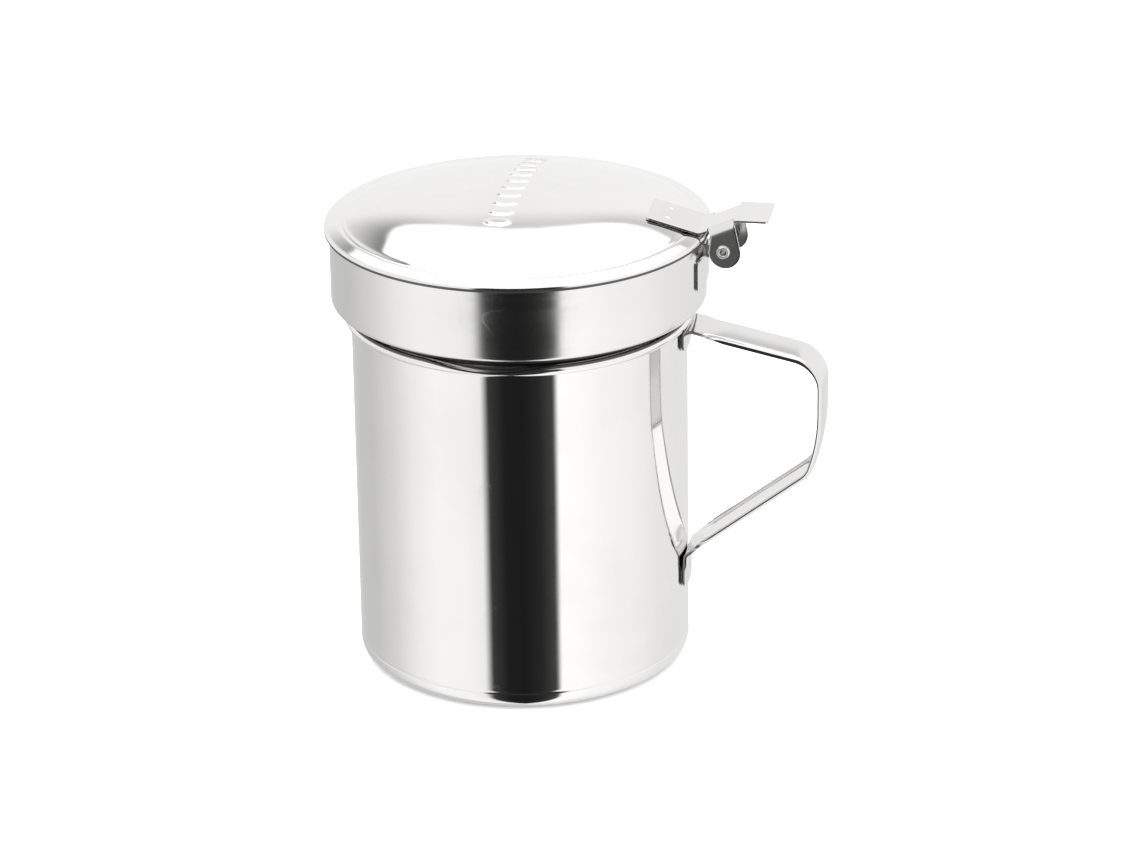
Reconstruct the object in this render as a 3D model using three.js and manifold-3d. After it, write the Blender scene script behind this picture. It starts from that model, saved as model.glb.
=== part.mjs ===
// A lidded stainless sifter mug: a drawn mug with a pouring lip and a strap handle, a lift-out sieve
// cup that hangs in the mug's mouth, and a domed lid that a thumb lever tips open on a riveted hinge.
// Millimetres, +Z up. The origin is the centre of the underside; the handle and the hinge lie along
// +X, and the pouring lip points along -Y.
import * as THREE from "three";
import { mergeGeometries, mergeVertices } from "three/addons/utils/BufferGeometryUtils.js";
import Module from "manifold-3d";

const wasm = await Module();
wasm.setup();

// ---- Driving dimensions ------------------------------------------------------------------------
const SHEET = 0.8; // thickness of the drawn shells: mug, sieve cup and lid
const REST_GAP = 0.3; // left between faces that touch or are welded together
const ROUND_STEPS = 60; // facets round every large turned piece

const MUG_RADIUS = 54; // outside of the mug's wall
const MUG_HEIGHT = 118.5; // top of the mug's rolled rim
const BASE_CORNER = 4.2; // outside radius where the wall turns into the base
const BEAD_RADIUS = 1.1; // rolled rim of the mug
const GROOVE_INSET = 18; // from the wall to the middle of the stiffening groove in the base
const GROOVE_WIDTH = 4;
const GROOVE_DEPTH = 0.7;

const LIP_REACH = 2; // how far the pouring lip stands out of the rim
const LIP_DIP = 1.3; // how far its tip drops
const LIP_HALF_ANGLE = 22; // degrees to each side of -Y
const LIP_DEPTH = 4; // height of wall that the lip is drawn from

const HANDLE_WIDTH = 16;
const HANDLE_THICKNESS = 1.5;
const HANDLE_REACH = 45.4; // from the mug's wall to the outside of the grip
const HANDLE_TOP_DROP = 2.9; // from the rim's top down to the upper arm's root
const HANDLE_SPAN = 79; // height between the roots of the two arms
const HANDLE_TOP_SLOPE = 12.4; // degrees the upper arm falls outwards
const HANDLE_FOOT_SLOPE = 37.6; // degrees the lower arm rises outwards
const HANDLE_GRIP_DROP = 26; // from the knee down to the middle of the grip's curve
const HANDLE_GRIP_LEAN = 17; // degrees the grip turns in by its lower end
const KNEE_RADIUS = 11;
const GRIP_RADIUS = 60;
const ELBOW_RADIUS = 8;
const ROOT_RADIUS = 2.3; // where each arm turns into its welded tab
const UPPER_TAB = 7.6; // length of the tab below each root
const LOWER_TAB = 11.3;

const BAND_OVERHANG = 6.2; // sieve cup's wide upper band, outside the mug's wall
const BAND_RISE = 28; // band's top above the mug's rim
const BAND_CORNER = 1.4;
const SHOULDER_SLOPE = 34; // degrees, the cone that sits on the mug's rim
const NECK_CLEARANCE = 0.5; // between the neck and the mug's inside
const NECK_DEPTH = 14.5; // how far the sieve cup reaches below the mug's rim
const NECK_CORNER = 2;
const SIEVE_LEDGE = 6.2; // inward flange under the mesh, from the neck's outside

const MESH_THICKNESS = 0.5;
const MESH_PITCH = 11; // of the square openings
const MESH_BAR = 3; // left between two openings
const MESH_EDGE = 4.2; // unbroken edge that the ring clamps
const RING_WIDTH = 4;
const RING_THICKNESS = 1.2;

const LID_OVERHANG = 1.6; // lid's edge outside the band
const LID_LIP = 1.9; // height of the turned-down edge
const LID_LIP_CORNER = 0.9;
const FLANGE_WIDTH = 5.8; // sloping rim round the dome
const FLANGE_RISE = 1.2; // from the lid's edge up to the crease round the dome
const DOME_HEIGHT = 10; // dome's top above the lid's edge

const PIN_RADIUS = 1.5;
const PIN_BORE = 0.95; // the pin is a tubular rivet
const PIN_PLAY = 0.2; // radial, in the ears and in the knuckle
const PIN_HEAD = 2.1;
const PIN_HEAD_THICKNESS = 0.7;
const PIN_DOWN = 3.6; // pin's axis below the band's top

const LEVER_WIDTH = 18;
const LEVER_SHEET = 0.9;
const LEVER_REACH = 19.1; // how far its strap reaches over the lid, from the lid's edge
const LEVER_BEND_INSET = 2.2; // the bend up to the thumb pad, inside the lid's edge
const LEVER_BEND_RADIUS = 3;
const CREST_OUT = 3.8; // start of the thumb pad, outside the pin
const CREST_RISE = 4.1; // height from the bend to the thumb pad
const PAD_LENGTH = 10.3;
const EAR_SHEET = 1;
const EAR_RADIUS = 5.1; // round lower end
const EAR_CLEARANCE = 0.4; // between the round end and the lid's edge
const EAR_OUT = 0.4; // centre of the round end, outside the pin
const EAR_DROP = 0.4; // and below it

const BRACKET_SHEET = 0.9;
const BRACKET_MARGIN = 3; // its plate beyond the lever, at each side
const BRACKET_TOP = 2.9; // plate's top below the pin
const BRACKET_HEIGHT = 10;
const BRACKET_BEND = 1.2;
const CHEEK_DROP = 1.8; // from the band's top down to the bracket's cheeks // radius where the neck turns out to the knuckle
const KNUCKLE_SIDE_GAP = 0.4; // between the knuckle and each ear

// ---- Worked-out places -------------------------------------------------------------------------
const rad = THREE.MathUtils.degToRad;
const mugInside = MUG_RADIUS - SHEET;
const bead = { r: mugInside + BEAD_RADIUS, z: MUG_HEIGHT - BEAD_RADIUS };

const neckOutside = mugInside - NECK_CLEARANCE;
const neckBottom = MUG_HEIGHT - NECK_DEPTH;
const bandRadius = MUG_RADIUS + BAND_OVERHANG;
const bandTop = MUG_HEIGHT + BAND_RISE;
const meshBottom = neckBottom + SHEET + REST_GAP;
const meshRadius = neckOutside - NECK_CORNER - REST_GAP;

const lidRadius = bandRadius + LID_OVERHANG;
const flangeTop = bandTop + REST_GAP + SHEET;
const creaseRadius = lidRadius - FLANGE_WIDTH;
// The dome is a cap of a sphere through the crease.
const capHeight = DOME_HEIGHT - FLANGE_RISE;
const domeSphere = (creaseRadius ** 2 + capHeight ** 2) / (2 * capHeight);
const domeZ = (r) => flangeTop + DOME_HEIGHT - domeSphere + Math.sqrt(domeSphere ** 2 - r ** 2);
const flangeZ = (r) => flangeTop + (FLANGE_RISE * (lidRadius - r)) / FLANGE_WIDTH;

const pin = { x: lidRadius + EAR_CLEARANCE + EAR_RADIUS, z: bandTop - PIN_DOWN };
const knuckleHalf = LEVER_WIDTH / 2 - EAR_SHEET - KNUCKLE_SIDE_GAP;

// ---- Shape helpers -----------------------------------------------------------------------------
const point = (x, y) => new THREE.Vector2(x, y);

// Points of an arc from angle a to angle b, in degrees, both ends included.
function arc(x, y, radius, a, b, steps) {
  return Array.from({ length: steps + 1 }, (_, i) => {
    const t = rad(a + ((b - a) * i) / steps);
    return point(x + radius * Math.cos(t), y + radius * Math.sin(t));
  });
}

// A closed profile of (radius, height) points, anticlockwise, turned round the Z axis.
function turned(profile, steps = ROUND_STEPS) {
  return new THREE.LatheGeometry([...profile, profile[0]], steps).rotateX(Math.PI / 2);
}

// A flat outline of (x, z) points, with holes, made into a plate of the given width centred on y.
function plate(outline, width, y = 0, holes = []) {
  const shape = new THREE.Shape(outline);
  shape.holes = holes.map((hole) => new THREE.Path(hole));
  return new THREE.ExtrudeGeometry(shape, { depth: width, bevelEnabled: false })
    .rotateX(Math.PI / 2)
    .translate(0, y + width / 2, 0);
}

// A line through corner points { x, z, radius }, each corner rounded by an arc of its radius.
function rounded(corners) {
  const line = [];
  corners.forEach((corner, i) => {
    const at = point(corner.x, corner.z);
    if (!corner.radius) {
      line.push(at);
      return;
    }
    const before = point(corners[i - 1].x, corners[i - 1].z).sub(at).normalize();
    const after = point(corners[i + 1].x, corners[i + 1].z).sub(at).normalize();
    const half = Math.acos(THREE.MathUtils.clamp(before.dot(after), -1, 1)) / 2;
    const centre = before.clone().add(after).normalize().multiplyScalar(corner.radius / Math.sin(half)).add(at);
    const start = before.clone().multiplyScalar(corner.radius / Math.tan(half)).add(at).sub(centre);
    const end = after.clone().multiplyScalar(corner.radius / Math.tan(half)).add(at).sub(centre);
    const turn = Math.atan2(start.cross(end), start.dot(end));
    const steps = Math.max(3, Math.ceil(Math.abs(turn) / rad(12)));
    for (let k = 0; k <= steps; k++) {
      line.push(start.clone().rotateAround(point(0, 0), (turn * k) / steps).add(centre));
    }
  });
  return line;
}

// The outline of a strip of sheet whose middle follows the line.
function strip(line, thickness) {
  const side = (sign) =>
    line.map((p, i) => {
      const along = line[Math.min(i + 1, line.length - 1)].clone().sub(line[Math.max(i - 1, 0)]).normalize();
      return point(p.x - along.y * sign * thickness / 2, p.y + along.x * sign * thickness / 2);
    });
  return [...side(-1), ...side(1).reverse()];
}

function solidOf(geometry) {
  const bare = geometry.clone();
  bare.deleteAttribute("normal");
  bare.deleteAttribute("uv");
  const merged = mergeVertices(bare, 1e-4);
  return new wasm.Manifold(
    new wasm.Mesh({
      numProp: 3,
      vertProperties: new Float32Array(merged.attributes.position.array),
      triVerts: new Uint32Array(merged.index.array),
    }),
  );
}

// Joins geometries into one body, less the cuts.
function joined(pieces, cuts = []) {
  let solid = pieces.map(solidOf).reduce((a, b) => a.add(b));
  cuts.forEach((cut) => {
    solid = solid.subtract(solidOf(cut));
  });
  const mesh = solid.getMesh();
  return new THREE.BufferGeometry()
    .setAttribute("position", new THREE.BufferAttribute(mesh.vertProperties, 3))
    .setIndex(new THREE.BufferAttribute(mesh.triVerts, 1));
}

// ---- Mug ---------------------------------------------------------------------------------------
// 1 at the middle of the pouring lip, falling smoothly to 0 at its ends and below it.
function lipShare(x, y, z) {
  const fromMiddle = Math.abs(Math.atan2(x, -y)) / rad(LIP_HALF_ANGLE);
  const upTheWall = 1 - (MUG_HEIGHT - z) / LIP_DEPTH;
  if (fromMiddle >= 1 || upTheWall <= 0) return 0;
  return Math.cos((fromMiddle * Math.PI) / 2) ** 1.3 * Math.min(1, upTheWall) ** 2;
}

function mugShell() {
  const outerCorner = arc(MUG_RADIUS - BASE_CORNER, BASE_CORNER, BASE_CORNER, -90, 0, 4);
  const innerCorner = arc(MUG_RADIUS - BASE_CORNER, BASE_CORNER, BASE_CORNER - SHEET, 0, -90, 4);
  const grooveRadius = MUG_RADIUS - GROOVE_INSET;
  const half = GROOVE_WIDTH / 2;
  const groove = (z) => [
    point(grooveRadius - half, z),
    point(grooveRadius - half / 2, z + GROOVE_DEPTH),
    point(grooveRadius + half / 2, z + GROOVE_DEPTH),
    point(grooveRadius + half, z),
  ];
  const lipHeights = [0, 0.2, 0.4].map((share) => MUG_HEIGHT - LIP_DEPTH * (1 - share));
  const profile = [
    point(0, 0),
    ...groove(0),
    ...outerCorner,
    ...lipHeights.map((z) => point(MUG_RADIUS, z)),
    ...arc(bead.r, bead.z, BEAD_RADIUS, -106, 180, 9),
    ...lipHeights.map((z) => point(mugInside, z)).reverse(),
    ...innerCorner,
    ...groove(SHEET).reverse(),
    point(0, SHEET),
  ];
  const shell = new THREE.LatheGeometry(profile, ROUND_STEPS).rotateX(Math.PI / 2);
  const at = shell.attributes.position;
  for (let i = 0; i < at.count; i++) {
    const [x, y, z] = [at.getX(i), at.getY(i), at.getZ(i)];
    const share = lipShare(x, y, z);
    const stretch = 1 + (LIP_REACH * share) / Math.hypot(x, y || 1);
    if (share > 0) at.setXYZ(i, x * stretch, y * stretch, z - LIP_DIP * share);
  }
  return shell;
}

function handleStrap() {
  const wallX = MUG_RADIUS + REST_GAP + HANDLE_THICKNESS / 2;
  const gripX = MUG_RADIUS + HANDLE_REACH - HANDLE_THICKNESS / 2;
  const rootZ = MUG_HEIGHT - HANDLE_TOP_DROP;
  const footZ = rootZ - HANDLE_SPAN;
  const kneeZ = rootZ - (gripX - wallX) * Math.tan(rad(HANDLE_TOP_SLOPE));
  const bendZ = kneeZ - HANDLE_GRIP_DROP;
  // The lower arm and the leaning grip meet where their two lines cross.
  const lean = Math.tan(rad(HANDLE_GRIP_LEAN));
  const rise = Math.tan(rad(HANDLE_FOOT_SLOPE));
  const elbowX = (gripX - lean * (bendZ - footZ + rise * wallX)) / (1 - lean * rise);
  const elbowZ = footZ + rise * (elbowX - wallX);
  const middle = rounded([
    { x: wallX, z: rootZ - UPPER_TAB },
    { x: wallX, z: rootZ, radius: ROOT_RADIUS },
    { x: gripX, z: kneeZ, radius: KNEE_RADIUS },
    { x: gripX, z: bendZ, radius: GRIP_RADIUS },
    { x: elbowX, z: elbowZ, radius: ELBOW_RADIUS },
    { x: wallX, z: footZ, radius: ROOT_RADIUS },
    { x: wallX, z: footZ - LOWER_TAB },
  ]);
  return plate(strip(middle, HANDLE_THICKNESS), HANDLE_WIDTH);
}

// ---- Sieve cup ---------------------------------------------------------------------------------
function sieveCup() {
  const slope = rad(SHOULDER_SLOPE);
  // The cone's underside clears the mug's bead by the resting gap.
  const reach = BEAD_RADIUS + REST_GAP;
  const seat = { r: bead.r - reach * Math.sin(slope), z: bead.z + reach * Math.cos(slope) };
  const coneZ = (r) => seat.z + (r - seat.r) * Math.tan(slope);
  const cornerStart = bandRadius - BAND_CORNER;
  const bandBottom = coneZ(cornerStart);
  const inside = neckOutside - SHEET;
  const coneRise = SHEET / Math.cos(slope);
  const profile = [
    point(neckOutside - SIEVE_LEDGE, neckBottom),
    ...arc(neckOutside - NECK_CORNER, neckBottom + NECK_CORNER, NECK_CORNER, -90, 0, 4),
    point(neckOutside, coneZ(neckOutside)),
    point(cornerStart, bandBottom),
    ...arc(cornerStart, bandBottom + BAND_CORNER, BAND_CORNER, -55, 0, 4),
    point(bandRadius, bandTop),
    point(bandRadius - SHEET, bandTop),
    point(bandRadius - SHEET, bandBottom + BAND_CORNER),
    point(cornerStart, bandBottom + coneRise),
    point(inside, coneZ(inside) + coneRise),
    ...arc(neckOutside - NECK_CORNER, neckBottom + NECK_CORNER, NECK_CORNER - SHEET, 0, -90, 3),
    point(neckOutside - SIEVE_LEDGE, neckBottom + SHEET),
  ];
  return turned(profile);
}

// A disc with a grid of square openings inside an unbroken edge.
function sieveMesh() {
  const middle = meshBottom + MESH_THICKNESS / 2;
  const disc = new THREE.CylinderGeometry(meshRadius, meshRadius, MESH_THICKNESS, ROUND_STEPS)
    .rotateX(Math.PI / 2)
    .translate(0, 0, middle);
  const side = MESH_PITCH - MESH_BAR;
  const rows = Math.ceil(meshRadius / MESH_PITCH);
  const openings = [];
  for (let i = -rows; i <= rows; i++) {
    for (let j = -rows; j <= rows; j++) {
      const [x, y] = [i * MESH_PITCH, j * MESH_PITCH];
      const farCorner = Math.hypot(Math.abs(x) + side / 2, Math.abs(y) + side / 2);
      if (farCorner > meshRadius - MESH_EDGE) continue;
      openings.push(new THREE.BoxGeometry(side, side, 3 * MESH_THICKNESS).translate(x, y, middle));
    }
  }
  return joined([disc], [mergeGeometries(openings)]);
}

function meshRing() {
  const bottom = meshBottom + MESH_THICKNESS + REST_GAP;
  const chamfer = RING_THICKNESS / 4;
  return turned([
    point(meshRadius - RING_WIDTH, bottom),
    point(meshRadius, bottom),
    point(meshRadius, bottom + RING_THICKNESS),
    point(meshRadius - RING_WIDTH + chamfer, bottom + RING_THICKNESS),
    point(meshRadius - RING_WIDTH, bottom + RING_THICKNESS - chamfer),
  ]);
}

// ---- Hinge -------------------------------------------------------------------------------------
function hingeBracket() {
  const inner = bandRadius + REST_GAP;
  const outer = inner + BRACKET_SHEET;
  const plateTop = pin.z - BRACKET_TOP;
  const halfAngle = THREE.MathUtils.radToDeg(Math.asin((LEVER_WIDTH / 2 + BRACKET_MARGIN) / outer));
  const sector = new THREE.Shape([
    ...arc(0, 0, inner, halfAngle, -halfAngle, 6),
    ...arc(0, 0, outer, -halfAngle, halfAngle, 6),
  ]);
  const wallPlate = new THREE.ExtrudeGeometry(sector, { depth: BRACKET_HEIGHT, bevelEnabled: false })
    .translate(0, 0, plateTop - BRACKET_HEIGHT);
  // The neck rises out of the plate, turns outwards and ends in the knuckle round the pin.
  const bore = PIN_RADIUS + PIN_PLAY;
  const knuckleRadius = bore + BRACKET_SHEET;
  const legX = (inner + outer) / 2;
  const armZ = pin.z - knuckleRadius + BRACKET_SHEET / 2;
  const arm = rounded([
    { x: legX, z: plateTop - BRACKET_HEIGHT / 2 },
    { x: legX, z: armZ, radius: BRACKET_BEND },
    { x: pin.x, z: armZ },
  ]);
  const neck = plate(strip(arm, BRACKET_SHEET), 2 * knuckleHalf);
  const round = arc(pin.x, pin.z, knuckleRadius, 0, 360, 24).slice(1);
  const hole = arc(pin.x, pin.z, bore, 360, 0, 24).slice(1);
  const knuckle = plate(round, 2 * knuckleHalf, 0, [hole]);
  // A cheek at each side of the neck stiffens it up to the band's top.
  const cheekTop = bandTop - CHEEK_DROP;
  const cheek = [
    point(inner, armZ),
    ...arc(pin.x, pin.z, knuckleRadius - BRACKET_SHEET / 2, 260, 160, 6),
    point(outer + CHEEK_DROP / 2, cheekTop),
    point(inner, cheekTop),
  ];
  const cheeks = [-1, 1].map((side) =>
    plate(cheek, BRACKET_SHEET, side * (knuckleHalf - BRACKET_SHEET / 2)));
  return joined([wallPlate, neck, knuckle, ...cheeks]);
}

function hingePin() {
  const ear = LEVER_WIDTH / 2 + REST_GAP;
  const end = ear + PIN_HEAD_THICKNESS;
  const flare = PIN_HEAD_THICKNESS * 0.6;
  const half = [
    point(PIN_RADIUS, ear),
    point(PIN_HEAD, ear),
    point(PIN_HEAD, end - flare / 2),
    point(PIN_HEAD - flare / 2, end),
    point(PIN_BORE + flare / 2, end),
    point(PIN_BORE, end - flare),
  ];
  const mirrored = half.map((p) => point(p.x, -p.y)).reverse();
  const tube = new THREE.LatheGeometry([...half, ...mirrored, half[0]], 24);
  return tube.translate(pin.x, 0, pin.z);
}

// ---- Lid ---------------------------------------------------------------------------------------
function lidDome() {
  const cap = [0, 0.2, 0.4, 0.6, 0.8, 1].map((share) => creaseRadius * share);
  const profile = [
    ...cap.map((r) => point(r, domeZ(r) - SHEET)),
    point(lidRadius - SHEET, flangeTop - SHEET),
    point(lidRadius - SHEET, flangeTop - LID_LIP),
    point(lidRadius, flangeTop - LID_LIP),
    ...arc(lidRadius - LID_LIP_CORNER, flangeTop - LID_LIP_CORNER, LID_LIP_CORNER, 0, 90, 3),
    ...cap.map((r) => point(r, domeZ(r))).reverse(),
  ];
  return new THREE.LatheGeometry(profile, ROUND_STEPS).rotateX(Math.PI / 2);
}

function thumbLever() {
  const half = LEVER_SHEET / 2;
  const innerX = lidRadius - LEVER_REACH;
  const innerZ = domeZ(innerX) + REST_GAP + half;
  const bendX = lidRadius - LEVER_BEND_INSET;
  const bendZ = flangeZ(bendX) + REST_GAP + half;
  const crestX = pin.x + CREST_OUT;
  const crestZ = bendZ + CREST_RISE;
  const middle = rounded([
    { x: innerX, z: innerZ },
    { x: bendX, z: bendZ, radius: LEVER_BEND_RADIUS },
    { x: crestX, z: crestZ, radius: LEVER_BEND_RADIUS },
    { x: crestX + PAD_LENGTH, z: crestZ },
  ]);
  const strap = plate(strip(middle, LEVER_SHEET), LEVER_WIDTH);
  // Each ear hangs from the rising stretch, just outside the lid's edge, and ends round the pin.
  const riseAt = (x) => bendZ + ((x - bendX) * CREST_RISE) / (crestX - bendX);
  const earLeft = lidRadius + REST_GAP;
  const outline = [
    point(earLeft, riseAt(earLeft)),
    ...arc(pin.x + EAR_OUT, pin.z - EAR_DROP, EAR_RADIUS, 195, 367, 14),
    point(crestX - half, riseAt(crestX - half) - half / 2),
  ];
  const hole = arc(pin.x, pin.z, PIN_RADIUS + PIN_PLAY, 360, 0, 24).slice(1);
  const ears = [-1, 1].map((side) => plate(outline, EAR_SHEET, (side * (LEVER_WIDTH - EAR_SHEET)) / 2, [hole]));
  return joined([strap, ...ears]);
}

// ---- Materials and assembly --------------------------------------------------------------------
const steel = (color, roughness) => new THREE.MeshStandardMaterial({ color, roughness, metalness: 1 });
const polished = steel(0xdcdcdc, 0.12);
const satin = steel(0xcfcdca, 0.3);
const dullSheet = steel(0x8c8a88, 0.4);
const wire = steel(0xb9b7b3, 0.35);

const sifter = new THREE.Group();
function add(name, geometry, material) {
  const mesh = new THREE.Mesh(geometry, material);
  mesh.name = name;
  sifter.add(mesh);
}

add("mug_shell", mugShell(), polished);
add("handle_strap", handleStrap(), polished);
add("sieve_cup", sieveCup(), satin);
add("sieve_mesh", sieveMesh(), wire);
add("mesh_ring", meshRing(), satin);
add("hinge_bracket", hingeBracket(), dullSheet);
add("hinge_pin", hingePin(), polished);
add("lid_dome", lidDome(), polished);
add("thumb_lever", thumbLever(), satin);

export default sifter;
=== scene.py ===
"""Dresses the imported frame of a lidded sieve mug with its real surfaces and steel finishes.

Every length here is in millimetres and every angle in degrees, and a mesh is scaled to metres when it
is made. Places and outer sizes come from the boxes of the frame's nodes. The mug stands on z = 0, the
handle and the hinge lie along +X, and the pouring lip points along -Y.
"""

from __future__ import annotations

import logging
import math
from dataclasses import dataclass, field
from enum import Enum
from typing import Sequence

import bmesh
import bpy
import numpy as np
from mathutils import Matrix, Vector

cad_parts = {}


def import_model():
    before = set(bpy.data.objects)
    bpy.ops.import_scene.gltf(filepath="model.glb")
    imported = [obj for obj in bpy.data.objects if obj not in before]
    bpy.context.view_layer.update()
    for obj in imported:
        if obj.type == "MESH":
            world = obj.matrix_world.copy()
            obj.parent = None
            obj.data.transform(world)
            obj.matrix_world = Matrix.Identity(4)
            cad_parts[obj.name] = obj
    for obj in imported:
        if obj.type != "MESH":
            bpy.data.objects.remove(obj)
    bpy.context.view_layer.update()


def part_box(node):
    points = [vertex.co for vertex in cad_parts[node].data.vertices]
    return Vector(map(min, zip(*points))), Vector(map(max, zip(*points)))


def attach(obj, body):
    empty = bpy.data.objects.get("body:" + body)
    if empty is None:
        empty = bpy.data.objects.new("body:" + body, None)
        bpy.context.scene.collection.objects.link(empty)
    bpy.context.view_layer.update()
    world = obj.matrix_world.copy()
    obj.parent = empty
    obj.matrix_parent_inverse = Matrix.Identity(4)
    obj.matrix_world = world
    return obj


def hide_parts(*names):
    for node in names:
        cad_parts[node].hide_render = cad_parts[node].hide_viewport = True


Array = np.ndarray
Socket = bpy.types.NodeSocket

MM = 0.001
LOG = logging.getLogger("sieve_mug")
SHARP_FROM = 50.0  # edges of a solid piece that turn by more than this stay crisp
SHEET_SHARP_FROM = 40.0  # the same for bent sheet


# ---------------------------------------------------------------------------------------------------
# Shape helpers
# ---------------------------------------------------------------------------------------------------
def smooth(share: Array | float) -> Array:
    """Eased share: 3t^2 - 2t^3 of t held between 0 and 1.

    Args:
        share: Values that run from 0 to 1 over the change.

    Returns:
        The eased values.
    """
    t = np.clip(share, 0.0, 1.0)
    return t * t * (3 - 2 * t)


def arc(x: float, z: float, radius: float, start: float, end: float, steps: int) -> Array:
    """Points of a circle's arc: centre plus radius times (cos a, sin a).

    Args:
        x: Centre along the first axis.
        z: Centre along the second axis.
        radius: Radius of the circle.
        start: First angle, in degrees.
        end: Last angle, in degrees.
        steps: Number of equal steps.

    Returns:
        An array of steps + 1 points, two numbers each.
    """
    angle = np.radians(np.linspace(start, end, steps + 1))
    return np.stack([x + radius * np.cos(angle), z + radius * np.sin(angle)], axis=1)


def line(start: Sequence[float], end: Sequence[float], steps: int) -> Array:
    """Points of a straight stretch, both ends included.

    Args:
        start: First point.
        end: Last point.
        steps: Number of equal steps.

    Returns:
        An array of steps + 1 points.
    """
    return np.linspace(np.asarray(start, float), np.asarray(end, float), steps + 1)


def joined(*stretches: Array) -> Array:
    """Stretches of a profile in one array, less the points that repeat the one before.

    Args:
        *stretches: Arrays of points.

    Returns:
        One array of points.
    """
    points = np.concatenate(stretches)
    keep = np.linalg.norm(np.diff(points, axis=0), axis=1) > 1e-5
    return points[np.concatenate([[True], keep])]


def spaced(*stretches: tuple[float, float, int]) -> Array:
    """Values that run through stretches which share their ends.

    Args:
        *stretches: First value, last value and number of values of each.

    Returns:
        One array of values, each shared end once.
    """
    runs = [np.linspace(*stretch) for stretch in stretches]
    return np.concatenate([run[:-1] for run in runs[:-1]] + runs[-1:])


def grid_faces(rows: int, columns: int, close_rows: bool = False, close_columns: bool = False) -> Array:
    """Quads of a grid of vertices numbered row by row.

    Args:
        rows: Number of rows.
        columns: Number of columns.
        close_rows: Whether the last row joins the first.
        close_columns: Whether the last column joins the first.

    Returns:
        An array of quads, four vertex numbers each.
    """
    r = np.arange(rows if close_rows else rows - 1)[:, None]
    c = np.arange(columns if close_columns else columns - 1)[None, :]
    r2, c2 = (r + 1) % rows, (c + 1) % columns
    corners = (r * columns + c, r * columns + c2, r2 * columns + c2, r2 * columns + c)
    return np.stack(corners, axis=-1).reshape(-1, 4)


@dataclass
class Body:
    """Vertices and quads of a surface, in millimetres."""

    vertices: Array
    faces: Array

    @staticmethod
    def merged(bodies: Sequence["Body"]) -> "Body":
        """Several surfaces as one, their vertex numbers shifted.

        Args:
            bodies: The surfaces.

        Returns:
            One surface.
        """
        starts = np.cumsum([0] + [len(b.vertices) for b in bodies[:-1]])
        faces = np.concatenate([b.faces + start for b, start in zip(bodies, starts)])
        return Body(np.concatenate([b.vertices for b in bodies]), faces)


def turned(profile: Array, sectors: int) -> Body:
    """A profile turned round the Z axis: (r, z) becomes (r cos a, r sin a, z).

    Args:
        profile: Points (radius, height), anticlockwise with the axis at the left. One that starts and
            ends on the axis closes there, and any other closes on itself.
        sectors: Number of steps round the axis.

    Returns:
        The closed surface, with the repeated points at the axis still to be merged.
    """
    angle = np.linspace(0, 2 * np.pi, sectors, endpoint=False)
    radius, height = profile[:, 0][None, :], profile[:, 1][None, :]
    around = angle[:, None]
    vertices = np.stack(
        [radius * np.cos(around), radius * np.sin(around), height + 0 * around], axis=-1
    ).reshape(-1, 3)
    on_axis = abs(profile[0, 0]) < 1e-9 and abs(profile[-1, 0]) < 1e-9
    faces = grid_faces(sectors, len(profile), close_rows=True, close_columns=not on_axis)
    return Body(vertices, faces)


def mesh_of(name: str, body: Body, sharp_from: float | None = None) -> bpy.types.Mesh:
    """A Blender mesh of a surface, with its doubles merged and its faces pointing outwards.

    Args:
        name: Name of the mesh.
        body: The surface, in millimetres.
        sharp_from: Angle from which its edges stay crisp, or None to leave it unshaded.

    Returns:
        The mesh, in metres.
    """
    mesh = bpy.data.meshes.new(name)
    mesh.from_pydata((body.vertices * MM).tolist(), [], body.faces.tolist())
    work = bmesh.new()
    work.from_mesh(mesh)
    bmesh.ops.remove_doubles(work, verts=work.verts, dist=2e-6)
    bmesh.ops.dissolve_degenerate(work, dist=1e-7, edges=work.edges)
    bmesh.ops.recalc_face_normals(work, faces=work.faces)
    work.to_mesh(mesh)
    work.free()
    if sharp_from is not None:
        shade(mesh, sharp_from)
    return mesh


def face_vectors(mesh: bpy.types.Mesh) -> tuple[Array, Array]:
    """Centres and normals of a mesh's faces.

    Args:
        mesh: The mesh, in metres.

    Returns:
        The centres in millimetres, and the unit normals.
    """
    centre, normal = np.empty(len(mesh.polygons) * 3), np.empty(len(mesh.polygons) * 3)
    mesh.polygons.foreach_get("center", centre)
    mesh.polygons.foreach_get("normal", normal)
    return centre.reshape(-1, 3) / MM, normal.reshape(-1, 3)


def shade(mesh: bpy.types.Mesh, sharp_from: float) -> None:
    """Smooth shading, with edges sharper than an angle kept crisp.

    Args:
        mesh: The mesh.
        sharp_from: Angle between two faces, in degrees.
    """
    mesh.shade_smooth()
    mesh.set_sharp_from_angle(angle=math.radians(sharp_from))


def node_box(name: str) -> tuple[Array, Array]:
    """Lowest and highest corner of a frame node, in millimetres.

    Args:
        name: The node's name.

    Returns:
        The two corners.
    """
    low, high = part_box(name)
    return np.array(low) / MM, np.array(high) / MM


# ---------------------------------------------------------------------------------------------------
# Finishes
# ---------------------------------------------------------------------------------------------------
class Lay(Enum):
    """Direction in which the polishing lines of a piece run."""

    TURNED = "round the mug's axis"
    LENGTHWISE = "along X and Z"


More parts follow.
